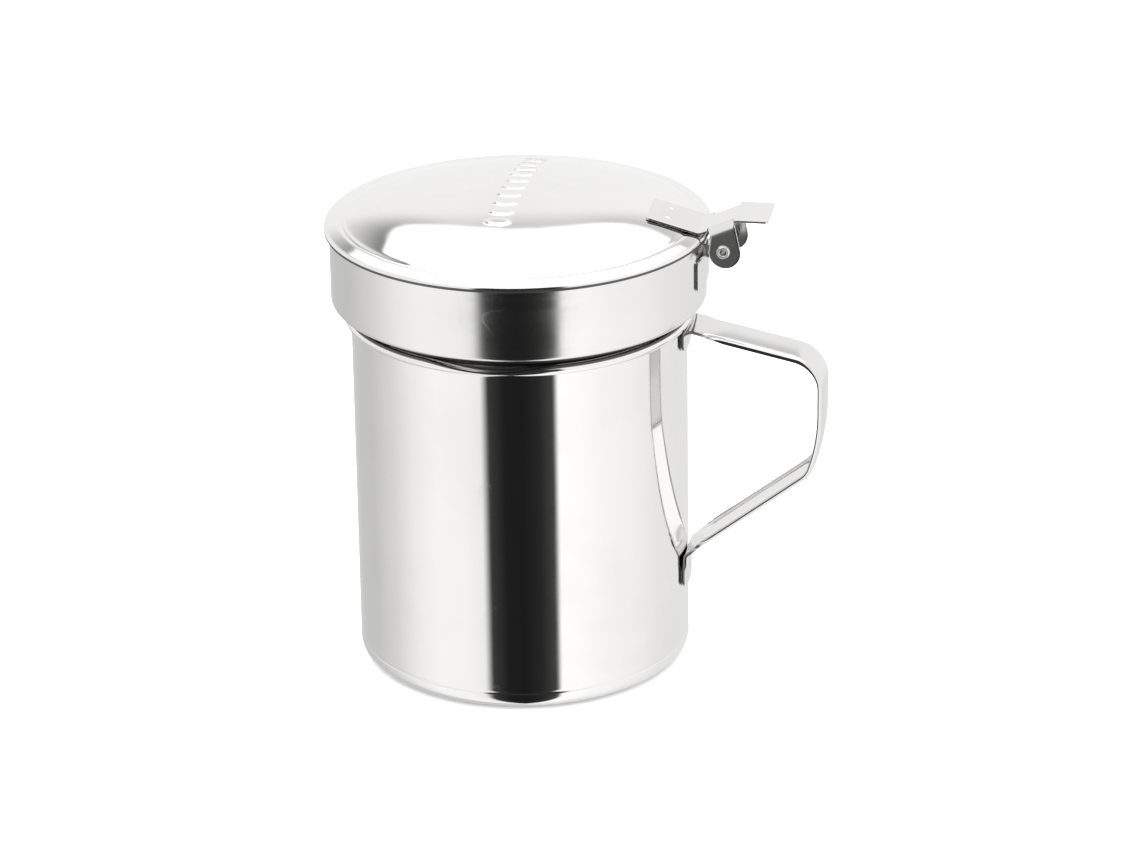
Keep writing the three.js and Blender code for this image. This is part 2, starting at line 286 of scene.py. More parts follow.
class NodeTools:
    """Short ways to add nodes to one node tree."""

    def __init__(self, tree: bpy.types.NodeTree) -> None:
        """Keeps the tree that nodes are added to."""
        self.tree = tree

    def add(self, kind: str, **settings: object) -> bpy.types.Node:
        """A new node with its properties set.

        Args:
            kind: The node's type name.
            **settings: Properties of the node.

        Returns:
            The node.
        """
        node = self.tree.nodes.new(kind)
        for key, value in settings.items():
            setattr(node, key, value)
        return node

    def feed(self, socket: Socket, value: Socket | float | Sequence[float]) -> None:
        """Links a socket into another, or sets its constant.

        Args:
            socket: The input.
            value: An output socket or a constant.
        """
        if isinstance(value, bpy.types.NodeSocket):
            self.tree.links.new(value, socket)
        else:
            socket.default_value = value

    def math(self, operation: str, *values: Socket | float, clamp: bool = False) -> Socket:
        """Output of a Math node.

        Args:
            operation: The operation's name.
            *values: Its inputs.
            clamp: Whether the result is held between 0 and 1.

        Returns:
            The output socket.
        """
        node = self.add("ShaderNodeMath", operation=operation, use_clamp=clamp)
        for socket, value in zip(node.inputs, values):
            self.feed(socket, value)
        return node.outputs[0]

    def span(self, value: Socket, low: float, high: float, to_low: float, to_high: float) -> Socket:
        """Output of a smooth Map Range node.

        Args:
            value: The input.
            low: Input that gives to_low.
            high: Input that gives to_high.
            to_low: Lowest result.
            to_high: Highest result.

        Returns:
            The output socket.
        """
        node = self.add("ShaderNodeMapRange", interpolation_type="SMOOTHSTEP")
        for socket, number in zip(node.inputs[1:5], (low, high, to_low, to_high)):
            socket.default_value = number
        self.feed(node.inputs[0], value)
        return node.outputs[0]

    def noise(self, place: Socket, scale: float, detail: float = 3.0, roughness: float = 0.5) -> Socket:
        """Noise between 0 and 1 at a place.

        Args:
            place: Coordinates.
            scale: Cells for each unit of the coordinates.
            detail: Number of finer layers.
            roughness: Share that each finer layer adds.

        Returns:
            The noise value.
        """
        node = self.add("ShaderNodeTexNoise")
        self.feed(node.inputs["Vector"], place)
        node.inputs["Scale"].default_value = scale
        node.inputs["Detail"].default_value = detail
        node.inputs["Roughness"].default_value = roughness
        return node.outputs[0]


def new_group(name: str, outputs: Sequence[str]) -> tuple[NodeTools, Socket, bpy.types.Node]:
    """An empty shader node group that takes a place and gives named numbers.

    Args:
        name: The group's name.
        outputs: Names of its outputs.

    Returns:
        Tools for its tree, the place's socket inside it, and its output node.
    """
    tree = bpy.data.node_groups.new(name, "ShaderNodeTree")
    tree.interface.new_socket(name="Place", in_out="INPUT", socket_type="NodeSocketVector")
    for output in outputs:
        tree.interface.new_socket(name=output, in_out="OUTPUT", socket_type="NodeSocketFloat")
    tools = NodeTools(tree)
    entry = tools.add("NodeGroupInput")
    return tools, entry.outputs["Place"], tools.add("NodeGroupOutput")


class SteelGroups:
    """Node groups that every steel finish shares: polishing lines, wiping marks and scratches."""

    STRANDS = 2600.0  # polishing lines for each metre
    TURN_LENGTH = 2.2  # how fast a turned line changes along its way round

    def __init__(self) -> None:
        """Builds the groups once."""
        self.lay = {Lay.TURNED: self.turned_lines(), Lay.LENGTHWISE: self.straight_lines()}
        self.wiping = self.wiping_marks()
        self.scratches = self.fine_scratches()

    def turned_lines(self) -> bpy.types.NodeTree:
        """Lines round the Z axis: noise of (x / r, y / r) drawn out slowly and (r + z) quickly.

        Returns:
            The group.
        """
        tools, place, out = new_group("turned_polishing_lines", ["Height", "Streak"])
        split = tools.add("ShaderNodeSeparateXYZ")
        tools.feed(split.inputs[0], place)
        x, y, z = split.outputs
        squares = tools.math("ADD", tools.math("MULTIPLY", x, x), tools.math("MULTIPLY", y, y))
        radius = tools.math("SQRT", squares)
        safe = tools.math("MAXIMUM", radius, 1e-4)
        joint = tools.add("ShaderNodeCombineXYZ")
        tools.feed(joint.inputs[0], tools.math("MULTIPLY", tools.math("DIVIDE", x, safe), self.TURN_LENGTH))
        tools.feed(joint.inputs[1], tools.math("MULTIPLY", tools.math("DIVIDE", y, safe), self.TURN_LENGTH))
        tools.feed(joint.inputs[2], tools.math("MULTIPLY", tools.math("ADD", radius, z), self.STRANDS))
        tools.feed(out.inputs["Height"], tools.noise(joint.outputs[0], 1.0, 2.0, 0.6))
        tools.feed(out.inputs["Streak"], tools.noise(joint.outputs[0], 0.16, 3.0, 0.55))
        return tools.tree

    def straight_lines(self) -> bpy.types.NodeTree:
        """Lines along a bent sheet: noise that changes quickly along Y and slowly along X and Z.

        Returns:
            The group.
        """
        tools, place, out = new_group("straight_polishing_lines", ["Height", "Streak"])
        stretch = tools.add("ShaderNodeVectorMath", operation="MULTIPLY")
        tools.feed(stretch.inputs[0], place)
        stretch.inputs[1].default_value = (60.0, self.STRANDS, 60.0)
        tools.feed(out.inputs["Height"], tools.noise(stretch.outputs[0], 1.0, 2.0, 0.6))
        tools.feed(out.inputs["Streak"], tools.noise(stretch.outputs[0], 0.2, 3.0, 0.55))
        return tools.tree

    def wiping_marks(self) -> bpy.types.NodeTree:
        """Soft patches left by a cloth: broad noise, bent by a broader one.

        Returns:
            The group.
        """
        tools, place, out = new_group("wiping_marks", ["Mark", "Wave"])
        broad = tools.noise(place, 22.0, 4.0, 0.55)
        fine = tools.noise(place, 95.0, 3.0, 0.6)
        blend = tools.math("ADD", tools.math("MULTIPLY", broad, 0.7), tools.math("MULTIPLY", fine, 0.3))
        tools.feed(out.inputs["Mark"], tools.span(blend, 0.42, 0.68, 0.0, 1.0))
        tools.feed(out.inputs["Wave"], tools.noise(place, 28.0, 1.0, 0.4))
        return tools.tree

    def fine_scratches(self) -> bpy.types.NodeTree:
        """Hair scratches: thin bands where two stretched noises cross their middle value.

        Returns:
            The group.
        """
        tools, place, out = new_group("hair_scratches", ["Scratch"])
        found: list[Socket] = []
        for turn, stretch in ((0.5, (900.0, 60.0, 90.0)), (-0.9, (70.0, 800.0, 110.0))):
            mapping = tools.add("ShaderNodeMapping")
            mapping.inputs["Rotation"].default_value = (turn, 0.4 * turn, turn)
            mapping.inputs["Scale"].default_value = stretch
            tools.feed(mapping.inputs["Vector"], place)
            value = tools.noise(mapping.outputs[0], 0.35, 2.0, 0.5)
            away = tools.math("ABSOLUTE", tools.math("SUBTRACT", value, 0.5))
            found.append(tools.span(away, 0.0, 0.006, 1.0, 0.0))
        rare = tools.span(tools.noise(place, 60.0, 1.0, 0.5), 0.5, 0.62, 0.0, 1.0)
        both = tools.math("MAXIMUM", found[0], found[1])
        tools.feed(out.inputs["Scratch"], tools.math("MULTIPLY", both, rare))
        return tools.tree


@dataclass(frozen=True)
class SteelFinish:
    """One finish of stainless steel and how far each shared effect shows in it."""

    name: str
    tint: tuple[float, float, float]
    roughness: float
    lay: Lay
    line_depth: float  # bump of the polishing lines, in metres
    streak: float = 0.03  # roughness added by the lines
    wiping: float = 0.03  # roughness added by wiping marks
    wave: float = 0.0  # bump of the slow waves in drawn sheet, in metres
    scratch: float = 0.06  # roughness added by hair scratches
    stain: float = 0.03  # share of colour lost in the wiping marks

    def build(self, groups: SteelGroups) -> bpy.types.Material:
        """The finish as a Blender material on Object coordinates.

        Args:
            groups: The shared node groups.

        Returns:
            The material.
        """
        material = bpy.data.materials.new(self.name)
        material.use_nodes = True
        material.node_tree.nodes.clear()
        tools = NodeTools(material.node_tree)
        place = tools.add("ShaderNodeTexCoord").outputs["Object"]
        used = {}
        shared = {"lay": groups.lay[self.lay], "wiping": groups.wiping, "scratch": groups.scratches}
        for key, tree in shared.items():
            used[key] = tools.add("ShaderNodeGroup", node_tree=tree)
            tools.feed(used[key].inputs["Place"], place)
        mark = used["wiping"].outputs["Mark"]
        hair = used["scratch"].outputs["Scratch"]

        shader = tools.add("ShaderNodeBsdfPrincipled")
        shader.inputs["Metallic"].default_value = 1.0
        colour = tools.add("ShaderNodeMix", data_type="RGBA")
        colour.inputs[6].default_value = (*self.tint, 1.0)
        colour.inputs[7].default_value = (*[c * (1 - self.stain) for c in self.tint], 1.0)
        tools.feed(colour.inputs[0], mark)
        tools.feed(shader.inputs["Base Color"], colour.outputs[2])

        rough = tools.math("MULTIPLY_ADD", used["lay"].outputs["Streak"], self.streak, self.roughness)
        rough = tools.math("MULTIPLY_ADD", mark, self.wiping, rough)
        rough = tools.math("MULTIPLY_ADD", hair, self.scratch, rough)
        tools.feed(shader.inputs["Roughness"], rough)

        height = tools.math("MULTIPLY", used["lay"].outputs["Height"], self.line_depth)
        height = tools.math("MULTIPLY_ADD", used["wiping"].outputs["Wave"], self.wave, height)
        bump = tools.add("ShaderNodeBump")
        bump.inputs["Strength"].default_value = 1.0
        bump.inputs["Distance"].default_value = 1.0
        tools.feed(bump.inputs["Height"], height)
        tools.feed(shader.inputs["Normal"], bump.outputs[0])
        out = tools.add("ShaderNodeOutputMaterial")
        tools.feed(out.inputs["Surface"], shader.outputs[0])
        return material


MIRROR = SteelFinish("mirror_polished_steel", (0.90, 0.895, 0.89), 0.035, Lay.TURNED, 1.2e-7, wave=6e-6)
LID_MIRROR = SteelFinish("lid_polished_steel", (0.91, 0.905, 0.9), 0.045, Lay.TURNED, 1.5e-7, wave=6e-6)
SATIN = SteelFinish("band_satin_steel", (0.88, 0.875, 0.87), 0.1, Lay.TURNED, 6e-7, streak=0.1, wave=4e-6)
# Painted shade: a near-black steel laid on the cone's underside below the band and on the lid's lower edge,
# to darken the gaps there.
PAINTED_SHADE = SteelFinish("painted_shade_steel", (0.16, 0.155, 0.15), 0.4, Lay.TURNED, 6e-7, streak=0.1)
HANDLE = SteelFinish("handle_polished_steel", (0.82, 0.815, 0.81), 0.07, Lay.LENGTHWISE, 1e-7, wave=5e-6)
HINGE = SteelFinish(
    "hinge_rolled_steel", (0.86, 0.855, 0.85), 0.14, Lay.LENGTHWISE, 1.5e-7, streak=0.08, wave=3e-6
)
RIVET = SteelFinish("rivet_bright_steel", (0.97, 0.965, 0.96), 0.3, Lay.LENGTHWISE, 1e-7)
WIRE = SteelFinish("sieve_wire_steel", (0.8, 0.795, 0.785), 0.22, Lay.LENGTHWISE, 1e-7)
# Darker steel of the sheet's sheared edges; the bracket's cheeks wear it all over as painted shade.
SHEARED_EDGE_AND_SHADE = SteelFinish("sheared_edge_and_painted_shade_steel", (0.7, 0.695, 0.69), 0.2, Lay.LENGTHWISE, 6e-7, streak=0.1)


class Wardrobe:
    """Builds each finish once and dresses pieces in it."""

    def __init__(self) -> None:
        """Starts with no finish built."""
        self.groups = SteelGroups()
        self.built: dict[str, bpy.types.Material] = {}

    def material(self, finish: SteelFinish) -> bpy.types.Material:
        """The finish's material, built at its first use.

        Args:
            finish: The finish.

        Returns:
            The material.
        """
        if finish.name not in self.built:
            self.built[finish.name] = finish.build(self.groups)
        return self.built[finish.name]

    def piece(
        self, name: str, mesh: bpy.types.Mesh, body: str, node: str, slot: str, *finishes: SteelFinish
    ) -> None:
        """Adds a mesh to the scene as a piece that stands for a frame node.

        Args:
            name: The piece's name.
            mesh: Its mesh, in metres.
            body: The frame body that it rides on.
            node: The frame node that it replaces.
            slot: The record's material slot; not used.
            *finishes: Its finishes, one for each material slot of the mesh.
        """
        while len(mesh.materials) < len(finishes):
            mesh.materials.append(None)
        for i, finish in enumerate(finishes):
            mesh.materials[i] = self.material(finish)
        piece = bpy.data.objects.new(name, mesh)
        bpy.context.scene.collection.objects.link(piece)
        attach(piece, body)
        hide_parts(node)
        LOG.info("%s: %d faces on %s, stands for %s", name, len(mesh.polygons), body, node)


# ---------------------------------------------------------------------------------------------------
# Bent sheet
# ---------------------------------------------------------------------------------------------------
@dataclass
class Corner:
    """A corner of a bent line in the X-Z plane, rounded by its radius."""

    x: float
    z: float
    radius: float = 0.0


class BentLine:
    """The middle line of a bent sheet: straight stretches joined by arcs."""

    STEP = 0.05  # distance between the line's points
    CORNER_POINTS = 24

    def __init__(self, corners: Sequence[Corner], curl: Array | None = None) -> None:
        """Rounds the corners and measures the line.

        Args:
            corners: Its corners, the ends included.
            curl: Points that carry on from the last corner.
        """
        points = self.rounded(corners)
        if curl is not None:
            points = joined(points, curl)
        steps = np.linalg.norm(np.diff(points, axis=0), axis=1)
        reach = np.concatenate([[0], np.cumsum(steps)])
        fine = np.linspace(0, reach[-1], int(reach[-1] / self.STEP) + 2)
        self.points = np.stack([np.interp(fine, reach, points[:, i]) for i in (0, 1)], axis=1)
        self.reach = fine
        self.length = float(reach[-1])

    @staticmethod
    def rounded(corners: Sequence[Corner]) -> Array:
        """The corners with an arc of its radius at each one.

        Args:
            corners: The corners.

        Returns:
            The line's points.
        """
        stretches = []
        for i, corner in enumerate(corners):
            at = np.array([corner.x, corner.z])
            if not corner.radius:
                stretches.append(at[None, :])
                continue
            before = np.array([corners[i - 1].x, corners[i - 1].z]) - at
            after = np.array([corners[i + 1].x, corners[i + 1].z]) - at
            before, after = before / np.linalg.norm(before), after / np.linalg.norm(after)
            half = math.acos(float(np.clip(before @ after, -1, 1))) / 2
            middle = before + after
            centre = at + middle / np.linalg.norm(middle) * corner.radius / math.sin(half)
            first = at + before * corner.radius / math.tan(half) - centre
            last = at + after * corner.radius / math.tan(half) - centre
            start = math.atan2(first[1], first[0])
            turn = math.atan2(first[0] * last[1] - first[1] * last[0], float(first @ last))
            angle = start + turn * np.linspace(0, 1, BentLine.CORNER_POINTS)
            stretches.append(centre + corner.radius * np.stack([np.cos(angle), np.sin(angle)], axis=1))
        return joined(*stretches)

    def places(self, reach: Array) -> Array:
        """Points at distances along the line."""
        return np.stack([np.interp(reach, self.reach, self.points[:, i]) for i in (0, 1)], axis=-1)

    def at(self, reach: Array) -> tuple[Array, Array]:
        """Places and left-hand normals at distances along the line.

        Args:
            reach: Distances from its start.

        Returns:
            The points, and the unit normals.
        """
        ahead, behind = np.minimum(reach + self.STEP, self.length), np.maximum(reach - self.STEP, 0)
        along = self.places(ahead) - self.places(behind)
        along /= np.linalg.norm(along, axis=-1, keepdims=True)
        return self.places(reach), np.stack([-along[..., 1], along[..., 0]], axis=-1)

    def reach_at_x(self, x: float) -> float:
        """Distance along the line at which it first gets to x.

        Args:
            x: The place along X.

        Returns:
            The distance from the line's start.
        """
        return float(self.reach[np.argmax(self.points[:, 0] >= x)])

    def surface(self, reach: Array, across: Array, lift: Array) -> Array:
        """Middle surface of the sheet: line(s) + lift(s, v) times normal(s), at y = v.

        Args:
            reach: Distances along the line, one for each row.
            across: Places across the sheet, rows by columns.
            lift: Offsets along the normal, rows by columns.

        Returns:
            Vertices, rows by columns by three.
        """
        point, normal = self.at(reach)
        x = point[:, 0:1] + lift * normal[:, 0:1]
        z = point[:, 1:2] + lift * normal[:, 1:2]
        return np.stack([x, across + 0 * x, z], axis=-1)


def round_ended(distance: Array, half_width: float, radius: float) -> Array:
    """Half width of a strip whose end corners are rounded: w - r + sqrt(r^2 - (r - d)^2).

    Args:
        distance: Distance d from the strip's end.
        half_width: Half width w away from the end.
        radius: Corner radius r.

    Returns:
        The half widths.
    """
    d = np.clip(distance, 0, radius)
    return half_width - radius + np.sqrt(np.maximum(radius**2 - (radius - d) ** 2, 0))


def ruled_sheet(left: Array, right: Array, y: float) -> Body:
    """A flat sheet in an X-Z plane, ruled between two lines: (1 - t) left + t right, t from 0 to 1.

    Args:
        left: Points (x, z) of its left edge.
        right: As many points of its right edge.
        y: Place of the plane.

    Returns:
        The surface.
    """
    share = np.linspace(0, 1, 6)[None, :, None]
    flat = (1 - share) * left[:, None] + share * right[:, None]
    vertices = np.stack([flat[..., 0], np.full(flat.shape[:2], y), flat[..., 1]], axis=-1)
    return Body(vertices.reshape(-1, 3), grid_faces(*flat.shape[:2]))


def dimples(x: Array, y: Array, places: Sequence[tuple[float, float]], radius: float, depth: float) -> Array:
    """Spot-weld dimples: depth times exp(-(d / radius)^4) round each place.

    Args:
        x: First coordinate of the surface.
        y: Second coordinate of the surface.
        places: Centres of the welds.
        radius: Radius of a dimple.
        depth: Its depth.

    Returns:
        The depth at each point.
    """
    total = np.zeros(np.broadcast(x, y).shape)
    for cx, cy in places:
        total += depth * np.exp(-((((x - cx) ** 2 + (y - cy) ** 2) / radius**2) ** 2))
    return total


def sheet_mesh(name: str, middle: Body, thickness: float, edge: float) -> bpy.types.Mesh:
    """A middle surface given its thickness and softened edges.

    Args:
        name: Name of the mesh.
        middle: The middle surface, in millimetres.
        thickness: Thickness of the sheet.
        edge: Radius that its cut edges are eased by.

    Returns:
        The finished mesh. Its second material slot is the cut edge.
    """
    mesh = mesh_of(name, middle)
    work = bpy.data.objects.new(name + "_work", mesh)
    bpy.context.scene.collection.objects.link(work)
    for _ in range(2):
        mesh.materials.append(None)
    wall = work.modifiers.new("wall", "SOLIDIFY")
    wall.thickness = thickness * MM
    wall.offset = 0.0
    wall.use_even_offset = True
    wall.material_offset_rim = 1
    ease = work.modifiers.new("ease", "BEVEL")
    ease.width = edge * MM
    ease.segments = 3
    ease.limit_method = "ANGLE"
    ease.angle_limit = math.radians(50)
    graph = bpy.context.evaluated_depsgraph_get()
    finished = bpy.data.meshes.new_from_object(work.evaluated_get(graph), depsgraph=graph)
    finished.name = name
    bpy.data.objects.remove(work)
    shade(finished, SHEET_SHARP_FROM)
    return finished


# ---------------------------------------------------------------------------------------------------
# Mug
# ---------------------------------------------------------------------------------------------------
@dataclass
class Mug:
    """The drawn mug and its strap handle."""

    sheet: float = 0.8
    bead: float = 1.5  # radius of the rolled rim
    bead_stand: float = 1.4  # how far the rim stands out of the wall
    base_corner: float = 4.2
    step_height: float = 4.6  # faint line left where the wall was trimmed
    step_depth: float = 0.12
    groove_inset: float = 18.0
    groove_half: float = 2.0
    groove_depth: float = 0.7
    lip_reach: float = 2.0
    lip_dip: float = 1.3
    lip_half_angle: float = 22.0
    lip_depth: float = 4.0
    sectors: int = 288

    strap: float = 1.1  # thickness of the handle's sheet
    top_slope: float = 12.4
    foot_slope: float = 37.6
    grip_drop: float = 26.0
    grip_lean: float = 17.0
    upper_tab: float = 7.6
    lower_tab: float = 11.3
    tab_gap: float = 0.06
    tab_corner: float = 2.0
    root_radius: float = 2.2
    knee_radius: float = 11.0
    grip_radius: float = 60.0
    elbow_radius: float = 8.0
    foot_radius: float = 2.3
    crown: float = 0.35
    edge_turn: float = 80.0  # angle that the strap's long edges are turned in by
    edge_length: float = 1.9  # width of sheet taken up by each turned edge
    strap_ease: float = 0.28  # radius that its cut edges are eased by
    weld_radius: float = 1.3
    weld_depth: float = 0.22

    def wall_profile(self, radius: float, height: float) -> Array:
        """Closed profile of the mug from the base's middle, up the outside, over the rim and back.

        Args:
            radius: Outside radius of the wall.
            height: Top of the rim.

        Returns:
            Points (radius, height).
        """
        inside = radius - self.sheet
        corner = radius - self.base_corner
        rim_r, rim_z = inside + self.bead, height - self.bead
        under = rim_z - self.bead

        def floor(z: float) -> Array:
            """Base from the axis to the corner, with the pressed groove: a raised cosine hump."""
            r = spaced((0, 30, 6), (30, corner, 36))
            off = (r - (radius - self.groove_inset)) / self.groove_half
            hump = self.groove_depth * 0.5 * (1 + np.cos(np.pi * np.clip(off, -1, 1)))
            return np.stack([r, z + hump], axis=1)

        outer_z = np.concatenate(
            [
                np.linspace(self.base_corner, 12, 40),
                np.linspace(13, under - 4, 24),
                np.linspace(under - 3.8, under - 0.1, 18),
            ]
        )
        step = self.step_depth * np.exp(-(((outer_z - self.step_height - 1.2) / 0.35) ** 2))
        outer = np.stack([radius - step, outer_z], axis=1)
        inner = joined(
            line((inside, rim_z), (inside, rim_z - 4), 16),
            line((inside, rim_z - 4), (inside, self.base_corner), 20),
        )
        return joined(
            floor(0.0),
            arc(corner, self.base_corner, self.base_corner, -90, 0, 14),
            outer,
            arc(rim_r, rim_z, self.bead, -108, 180, 30),
            inner,
            arc(corner, self.base_corner, self.base_corner - self.sheet, 0, -90, 12),
            floor(self.sheet)[::-1],
        )

    def with_lip(self, vertices: Array, height: float) -> Array:
        """Draws the pouring lip out of the rim.

        The share is cos(a / A * 90)^1.3 round the lip's middle and the square of the height above the
        lip's root, and it moves a point outwards by the reach and down by the dip.

        Args:
            vertices: Vertices of the turned mug.
            height: Top of the rim.

        Returns:
            The moved vertices.
        """
        x, y, z = vertices.T
        turn = np.abs(np.degrees(np.arctan2(x, -y))) / self.lip_half_angle
        round_share = np.where(turn < 1, np.cos(np.minimum(turn, 1) * np.pi / 2), 0) ** 1.3
        up = np.clip(1 - (height - z) / self.lip_depth, 0, 1) ** 2
        share = round_share * up
        radius = np.maximum(np.hypot(x, y), 1e-6)
        stretch = 1 + self.lip_reach * share / radius
        return np.stack([x * stretch, y * stretch, z - self.lip_dip * share], axis=1)

    def shell_mesh(self) -> bpy.types.Mesh:
        """The mug as a turned profile with its pouring lip.

        Returns:
            The mesh.
        """
        high = node_box("mug_shell")[1]
        radius, height = high[0] - self.bead_stand, high[2]
        body = turned(self.wall_profile(radius, height), self.sectors)
        body.vertices = self.with_lip(body.vertices, height)
        return mesh_of("mug", body, SHARP_FROM)

    def handle_line(self, mug_radius: float) -> BentLine:
        """The strap's middle line from the upper tab round the grip to the lower tab.

        Args:
            mug_radius: Outside radius of the mug's wall.

        Returns:
            The line.
        """
        low, high = node_box("handle_strap")
        tab_x = mug_radius + self.strap / 2 + self.tab_gap
        grip_x = high[0] - self.strap / 2 - self.crown
        root_z = high[2] - self.strap / 2
        foot_z = low[2] + self.lower_tab
        knee_z = root_z - (grip_x - tab_x) * math.tan(math.radians(self.top_slope))
        lean, rise = math.tan(math.radians(self.grip_lean)), math.tan(math.radians(self.foot_slope))
        bend_z = knee_z - self.grip_drop
        elbow_x = (grip_x - lean * (bend_z - foot_z + rise * tab_x)) / (1 - lean * rise)
        return BentLine(
            [
                Corner(tab_x, root_z - self.upper_tab),
                Corner(tab_x, root_z, self.root_radius),
                Corner(grip_x, knee_z, self.knee_radius),
                Corner(grip_x, bend_z, self.grip_radius),
                Corner(elbow_x, foot_z + rise * (elbow_x - tab_x), self.elbow_radius),
                Corner(tab_x, foot_z, self.foot_radius),
                Corner(tab_x, low[2]),
            ]
        )

    def strap_section(self, unit: Array, half: Array, share: Array) -> tuple[Array, Array]:
        """Section of the strap: crowned in the middle, each long edge turned in along an arc.

        The sheet runs straight for a length s0, then along an arc of length L through the angle
        A = share times edge_turn, of radius L / A: across = s0 + L / A sin a, lift = L / A (cos a - 1).
        The crown adds share times crown (1 - (across / half)^2).

        Args:
            unit: Places across the sheet, from -1 to 1, as one row.
            half: Half width of the finished strap, one for each row of the surface.
            share: How far the section is formed, from 0 on the flat tabs to 1, one for each row.

        Returns:
            Places across the strap and offsets outwards, rows by columns.
        """
        turn = np.maximum(share * math.radians(self.edge_turn), 1e-3)[:, None]
        length = np.minimum(self.edge_length, half / 2)[:, None]
        straight = half[:, None] - length * np.sin(turn) / turn
        along = np.abs(unit) * (straight + length)
        angle = np.maximum(along - straight, 0) / length * turn
        across = np.minimum(along, straight) + length / turn * np.sin(angle)
        lift = length / turn * (np.cos(angle) - 1)
        lift += share[:, None] * self.crown * (1 - (across / np.maximum(half[:, None], 0.1)) ** 2)
        return np.sign(unit) * across, lift

    def handle_mesh(self) -> bpy.types.Mesh:
        """The strap handle: flat tabs that follow the wall, and a crowned grip with turned-in edges.

        Returns:
            The mesh.
        """
        mug_radius = node_box("mug_shell")[1][0] - self.bead_stand
        low, high = node_box("handle_strap")
        path = self.handle_line(mug_radius)
        near_end = path.length - 2
        reach = spaced((0, 2, 14), (2, near_end, 300), (near_end, path.length, 14))
        ends = np.minimum(reach, path.length - reach)
        half = round_ended(ends, high[1] - 0.02, self.tab_corner)
        edge = np.linspace(0.74, 1, 11)
        unit = np.concatenate([-edge[::-1], np.linspace(-0.74, 0.74, 29)[1:-1], edge])[None, :]
        past_root = smooth((reach - self.upper_tab - 3) / 9)
        before_foot = smooth((path.length - reach - self.lower_tab - 2) / 9)
        across, lift = self.strap_section(unit, half, past_root * before_foot)
        grid = path.surface(reach, across, lift)
        hug = (1 - smooth((ends - 5.5) / 3.0))[:, None]
        grid[..., 0] -= hug * (mug_radius - np.sqrt(mug_radius**2 - across**2))
        welds = [(0.0, low[2] + 5.0), (0.0, high[2] - self.upper_tab + 3.0)]
        on_tab = grid[..., 0] < mug_radius + 2
        dents = dimples(grid[..., 1], grid[..., 2], welds, self.weld_radius, self.weld_depth)
        grid[..., 0] -= on_tab * dents
        middle = Body(grid.reshape(-1, 3), grid_faces(len(reach), unit.shape[1]))
        return sheet_mesh("handle", middle, self.strap, self.strap_ease)

    def build(self, wardrobe: Wardrobe) -> None:
        """Makes the mug's pieces and dresses them.

        Args:
            wardrobe: The finishes.
        """
        wardrobe.piece("mug", self.shell_mesh(), "mug", "mug_shell", "polished_steel", MIRROR)
        wardrobe.piece("handle", self.handle_mesh(), "mug", "handle_strap", "handle_steel", HANDLE, SHEARED_EDGE_AND_SHADE)


